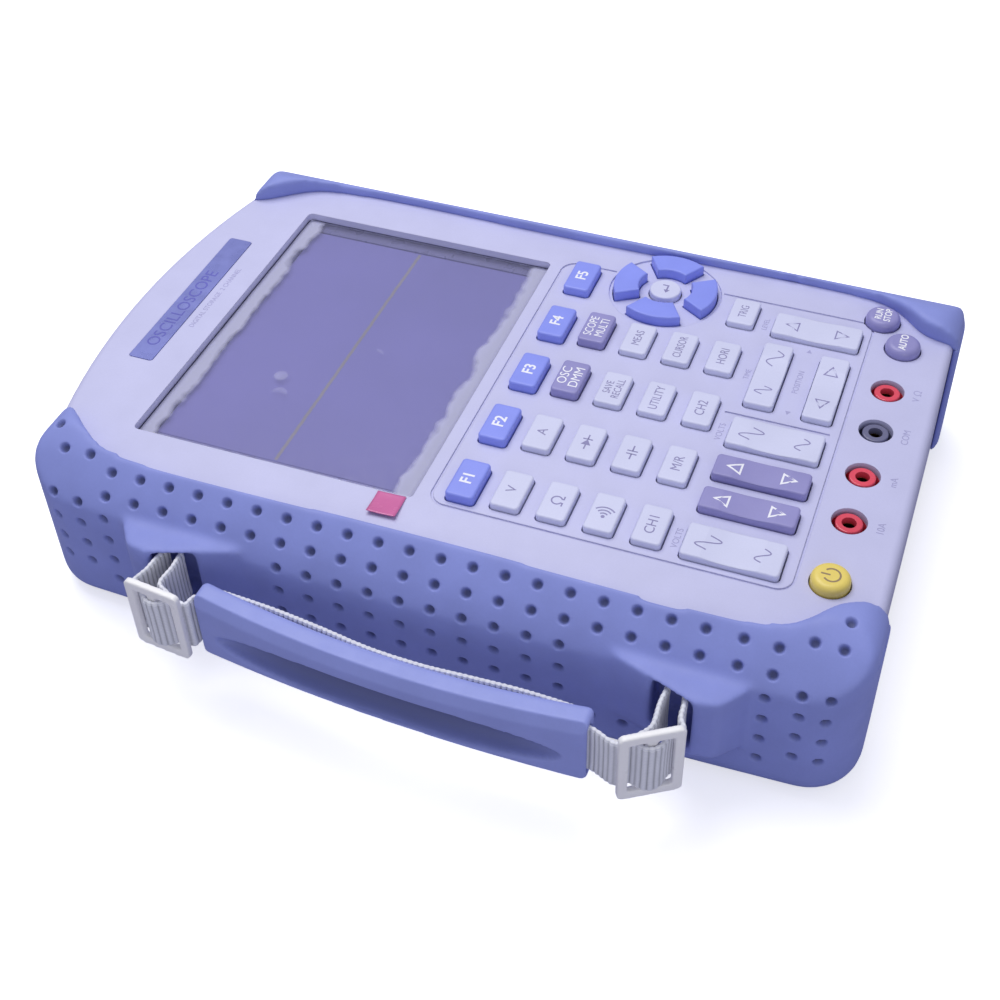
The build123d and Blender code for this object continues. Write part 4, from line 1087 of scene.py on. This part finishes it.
def build_film():
    """Protective sheet with a slightly lifted, uneven border."""
    x0, x1 = view_low.x + FILM_INSET_LEFT, view_high.x - FILM_INSET
    y0, y1 = view_low.y + FILM_INSET, view_high.y - FILM_INSET
    base = view_high.z + FILM_GAP
    nx, ny = FILM_CELLS
    rng = random.Random(3)
    lumps = []
    for _ in range(FILM_LUMPS):
        x = rng.uniform(x0, x1)
        y = rng.choice((y0 + rng.uniform(0.5, 5), y1 - rng.uniform(0.5, 5)))
        lumps.append((x, y, rng.uniform(2.0, 5.0), rng.uniform(0.03, 0.11)))
    verts = []
    for thick in (FILM_T, 0.0):
        for j in range(ny + 1):
            for i in range(nx + 1):
                x = x0 + (x1 - x0) * i / nx
                y = y0 + (y1 - y0) * j / ny
                lift = sum(h * math.exp(-((x - lx) ** 2 + (y - ly) ** 2) / (r * r))
                           for lx, ly, r, h in lumps)
                verts.append((x, y, base + thick + min(lift, FILM_MOST_LIFT)))
    row = nx + 1
    layer = row * (ny + 1)
    faces = []
    for j in range(ny):
        for i in range(nx):
            a = j * row + i
            faces.append((a, a + 1, a + row + 1, a + row))
            faces.append((layer + a, layer + a + row, layer + a + row + 1, layer + a + 1))
    rim = list(range(nx)) + [j * row + nx for j in range(ny)]
    rim += [ny * row + i for i in range(nx, 0, -1)] + [j * row for j in range(ny, 0, -1)]
    for a, b in zip(rim, rim[1:] + rim[:1]):
        faces.append((a, layer + a, layer + b, b))
    film = from_points("film_sheet", verts, faces, M["film"], "housing")
    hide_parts("screen_film")


TAB_ROOT_X = -56.9
TAB_Y = (8.4, 16.6)
TAB_T = 0.16
TAB_CELLS = (16, 8)
TAB_FLAT = 0.12
TAB_GAP = 0.14


def build_tab():
    """Pink pull tab that curls off the face beside the display."""
    low, high = (plan(corner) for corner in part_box("screen_film"))
    steps, cells = TAB_CELLS
    y0, y1 = TAB_Y
    curl = high.z - FACE_Z - 0.5
    verts, rings = [], []
    for i in range(steps + 1):
        t = i / steps
        x = TAB_ROOT_X + (low.x - TAB_ROOT_X) * t
        z = FACE_Z + TAB_GAP + curl * max(0.0, t - TAB_FLAT) ** 1.5
        ring = []
        for layer in (TAB_T, 0.0):
            for k in range(cells + 1) if layer else range(cells, -1, -1):
                s = k / cells
                y = y0 + (y1 - y0) * s - 0.4 * t
                ring.append(len(verts))
                verts.append((x - 0.25 * s, y, z + layer + 0.20 * t * (2 * s - 1) ** 2))
        rings.append(ring)
    from_points("film_tab", verts, loft(rings), M["tab"], "housing")


build_film()
build_tab()


# ---------------------------------------------------------------- stage, light, camera

FLOOR_HALF = 3.0
FLOOR_CELLS = 12
FLOOR_Z = -0.0002
FLOOR_GLOW = 0.55
SKY_STRENGTH = 0.40


def floor_paper():
    """Pale paper, bright to the camera and dimmer in the light it throws on the part."""
    n = Nodes("floor_paper")
    tint = n.mix(n.remap(n.noise(6.0, 2.0), 0.0, 1.0), rgb(246, 246, 250), rgb(251, 251, 254))
    paper = n.add("ShaderNodeBsdfDiffuse", Color=tint).outputs[0]
    glow = n.add("ShaderNodeEmission", Color=(1, 1, 1, 1), Strength=FLOOR_GLOW).outputs[0]
    bright = n.add("ShaderNodeAddShader", i0=paper, i1=glow).outputs[0]
    dim = n.add("ShaderNodeBsdfDiffuse", Color=rgb(178, 178, 196)).outputs[0]
    seen = n.add("ShaderNodeLightPath").outputs["Is Camera Ray"]
    lit = n.add("ShaderNodeMixShader", i0=seen, i1=dim, i2=bright).outputs[0]
    clear = n.add("ShaderNodeBsdfTransparent").outputs[0]
    back = n.add("ShaderNodeNewGeometry").outputs["Backfacing"]
    return n.out(n.add("ShaderNodeMixShader", i0=back, i1=lit, i2=clear).outputs[0])


def stage():
    """Floor under the part."""
    steps = [FLOOR_HALF * (2 * i / FLOOR_CELLS - 1) for i in range(FLOOR_CELLS + 1)]
    bm = bmesh.new()
    grid = [[bm.verts.new((x, y, FLOOR_Z)) for x in steps] for y in steps]
    for j in range(FLOOR_CELLS):
        for i in range(FLOOR_CELLS):
            bm.faces.new((grid[j][i], grid[j][i + 1], grid[j + 1][i + 1], grid[j + 1][i]))
    mesh = bpy.data.meshes.new("floor")
    bm.to_mesh(mesh)
    bm.free()
    floor = bpy.data.objects.new("floor", mesh)
    floor.data.materials.append(floor_paper())
    bpy.context.scene.collection.objects.link(floor)


def area_light(name, place, target, size, power, colour):
    """Round softbox aimed at a point; place and target are in metres."""
    light = bpy.data.lights.new(name, "AREA")
    light.shape, light.size, light.energy, light.color = "DISK", size, power, colour
    obj = bpy.data.objects.new(name, light)
    obj.location = place
    obj.rotation_euler = (Vector(target) - Vector(place)).to_track_quat("-Z", "Y").to_euler()
    bpy.context.scene.collection.objects.link(obj)


def world():
    """Plain white behind the part, and an even bluish light on it."""
    made = bpy.data.worlds.new("studio")
    bpy.context.scene.world = made
    made.use_nodes = True
    tree = made.node_tree
    tree.nodes.clear()
    path = tree.nodes.new("ShaderNodeLightPath")
    seen = tree.nodes.new("ShaderNodeBackground")
    lit = tree.nodes.new("ShaderNodeBackground")
    mixed = tree.nodes.new("ShaderNodeMixShader")
    out = tree.nodes.new("ShaderNodeOutputWorld")
    seen.inputs["Strength"].default_value = 1.0
    lit.inputs["Color"].default_value = (0.86, 0.88, 1.0, 1)
    lit.inputs["Strength"].default_value = SKY_STRENGTH
    tree.links.new(path.outputs["Is Camera Ray"], mixed.inputs[0])
    tree.links.new(lit.outputs[0], mixed.inputs[1])
    tree.links.new(seen.outputs[0], mixed.inputs[2])
    tree.links.new(mixed.outputs[0], out.inputs[0])


def camera():
    """Camera at the photograph's angle."""
    cam = bpy.data.cameras.new("photo_camera")
    cam.lens, cam.sensor_width = 54.7, 36.0
    cam.shift_x, cam.shift_y = -0.0524, -0.0427
    cam.clip_start, cam.clip_end = 0.01, 20.0
    obj = bpy.data.objects.new("photo_camera", cam)
    place, target = at(-317.7, -124.8, 332.5), at(-7.7, -15.8, 24.7)
    obj.location = place
    obj.rotation_euler = (target - place).to_track_quat("-Z", "Y").to_euler()
    bpy.context.scene.collection.objects.link(obj)
    bpy.context.scene.camera = obj


stage()
world()
area_light("softbox_top", (0.20, 0.22, 0.85), (0.0, 0.0, 0.03), 0.75, 5.3, (1.0, 1.0, 1.0))
area_light("softbox_left", (-0.9, -0.5, 0.45), (-0.05, 0.0, 0.03), 0.5, 1.5, (0.92, 0.94, 1.0))
camera()
bpy.context.scene.view_settings.view_transform = "Standard"
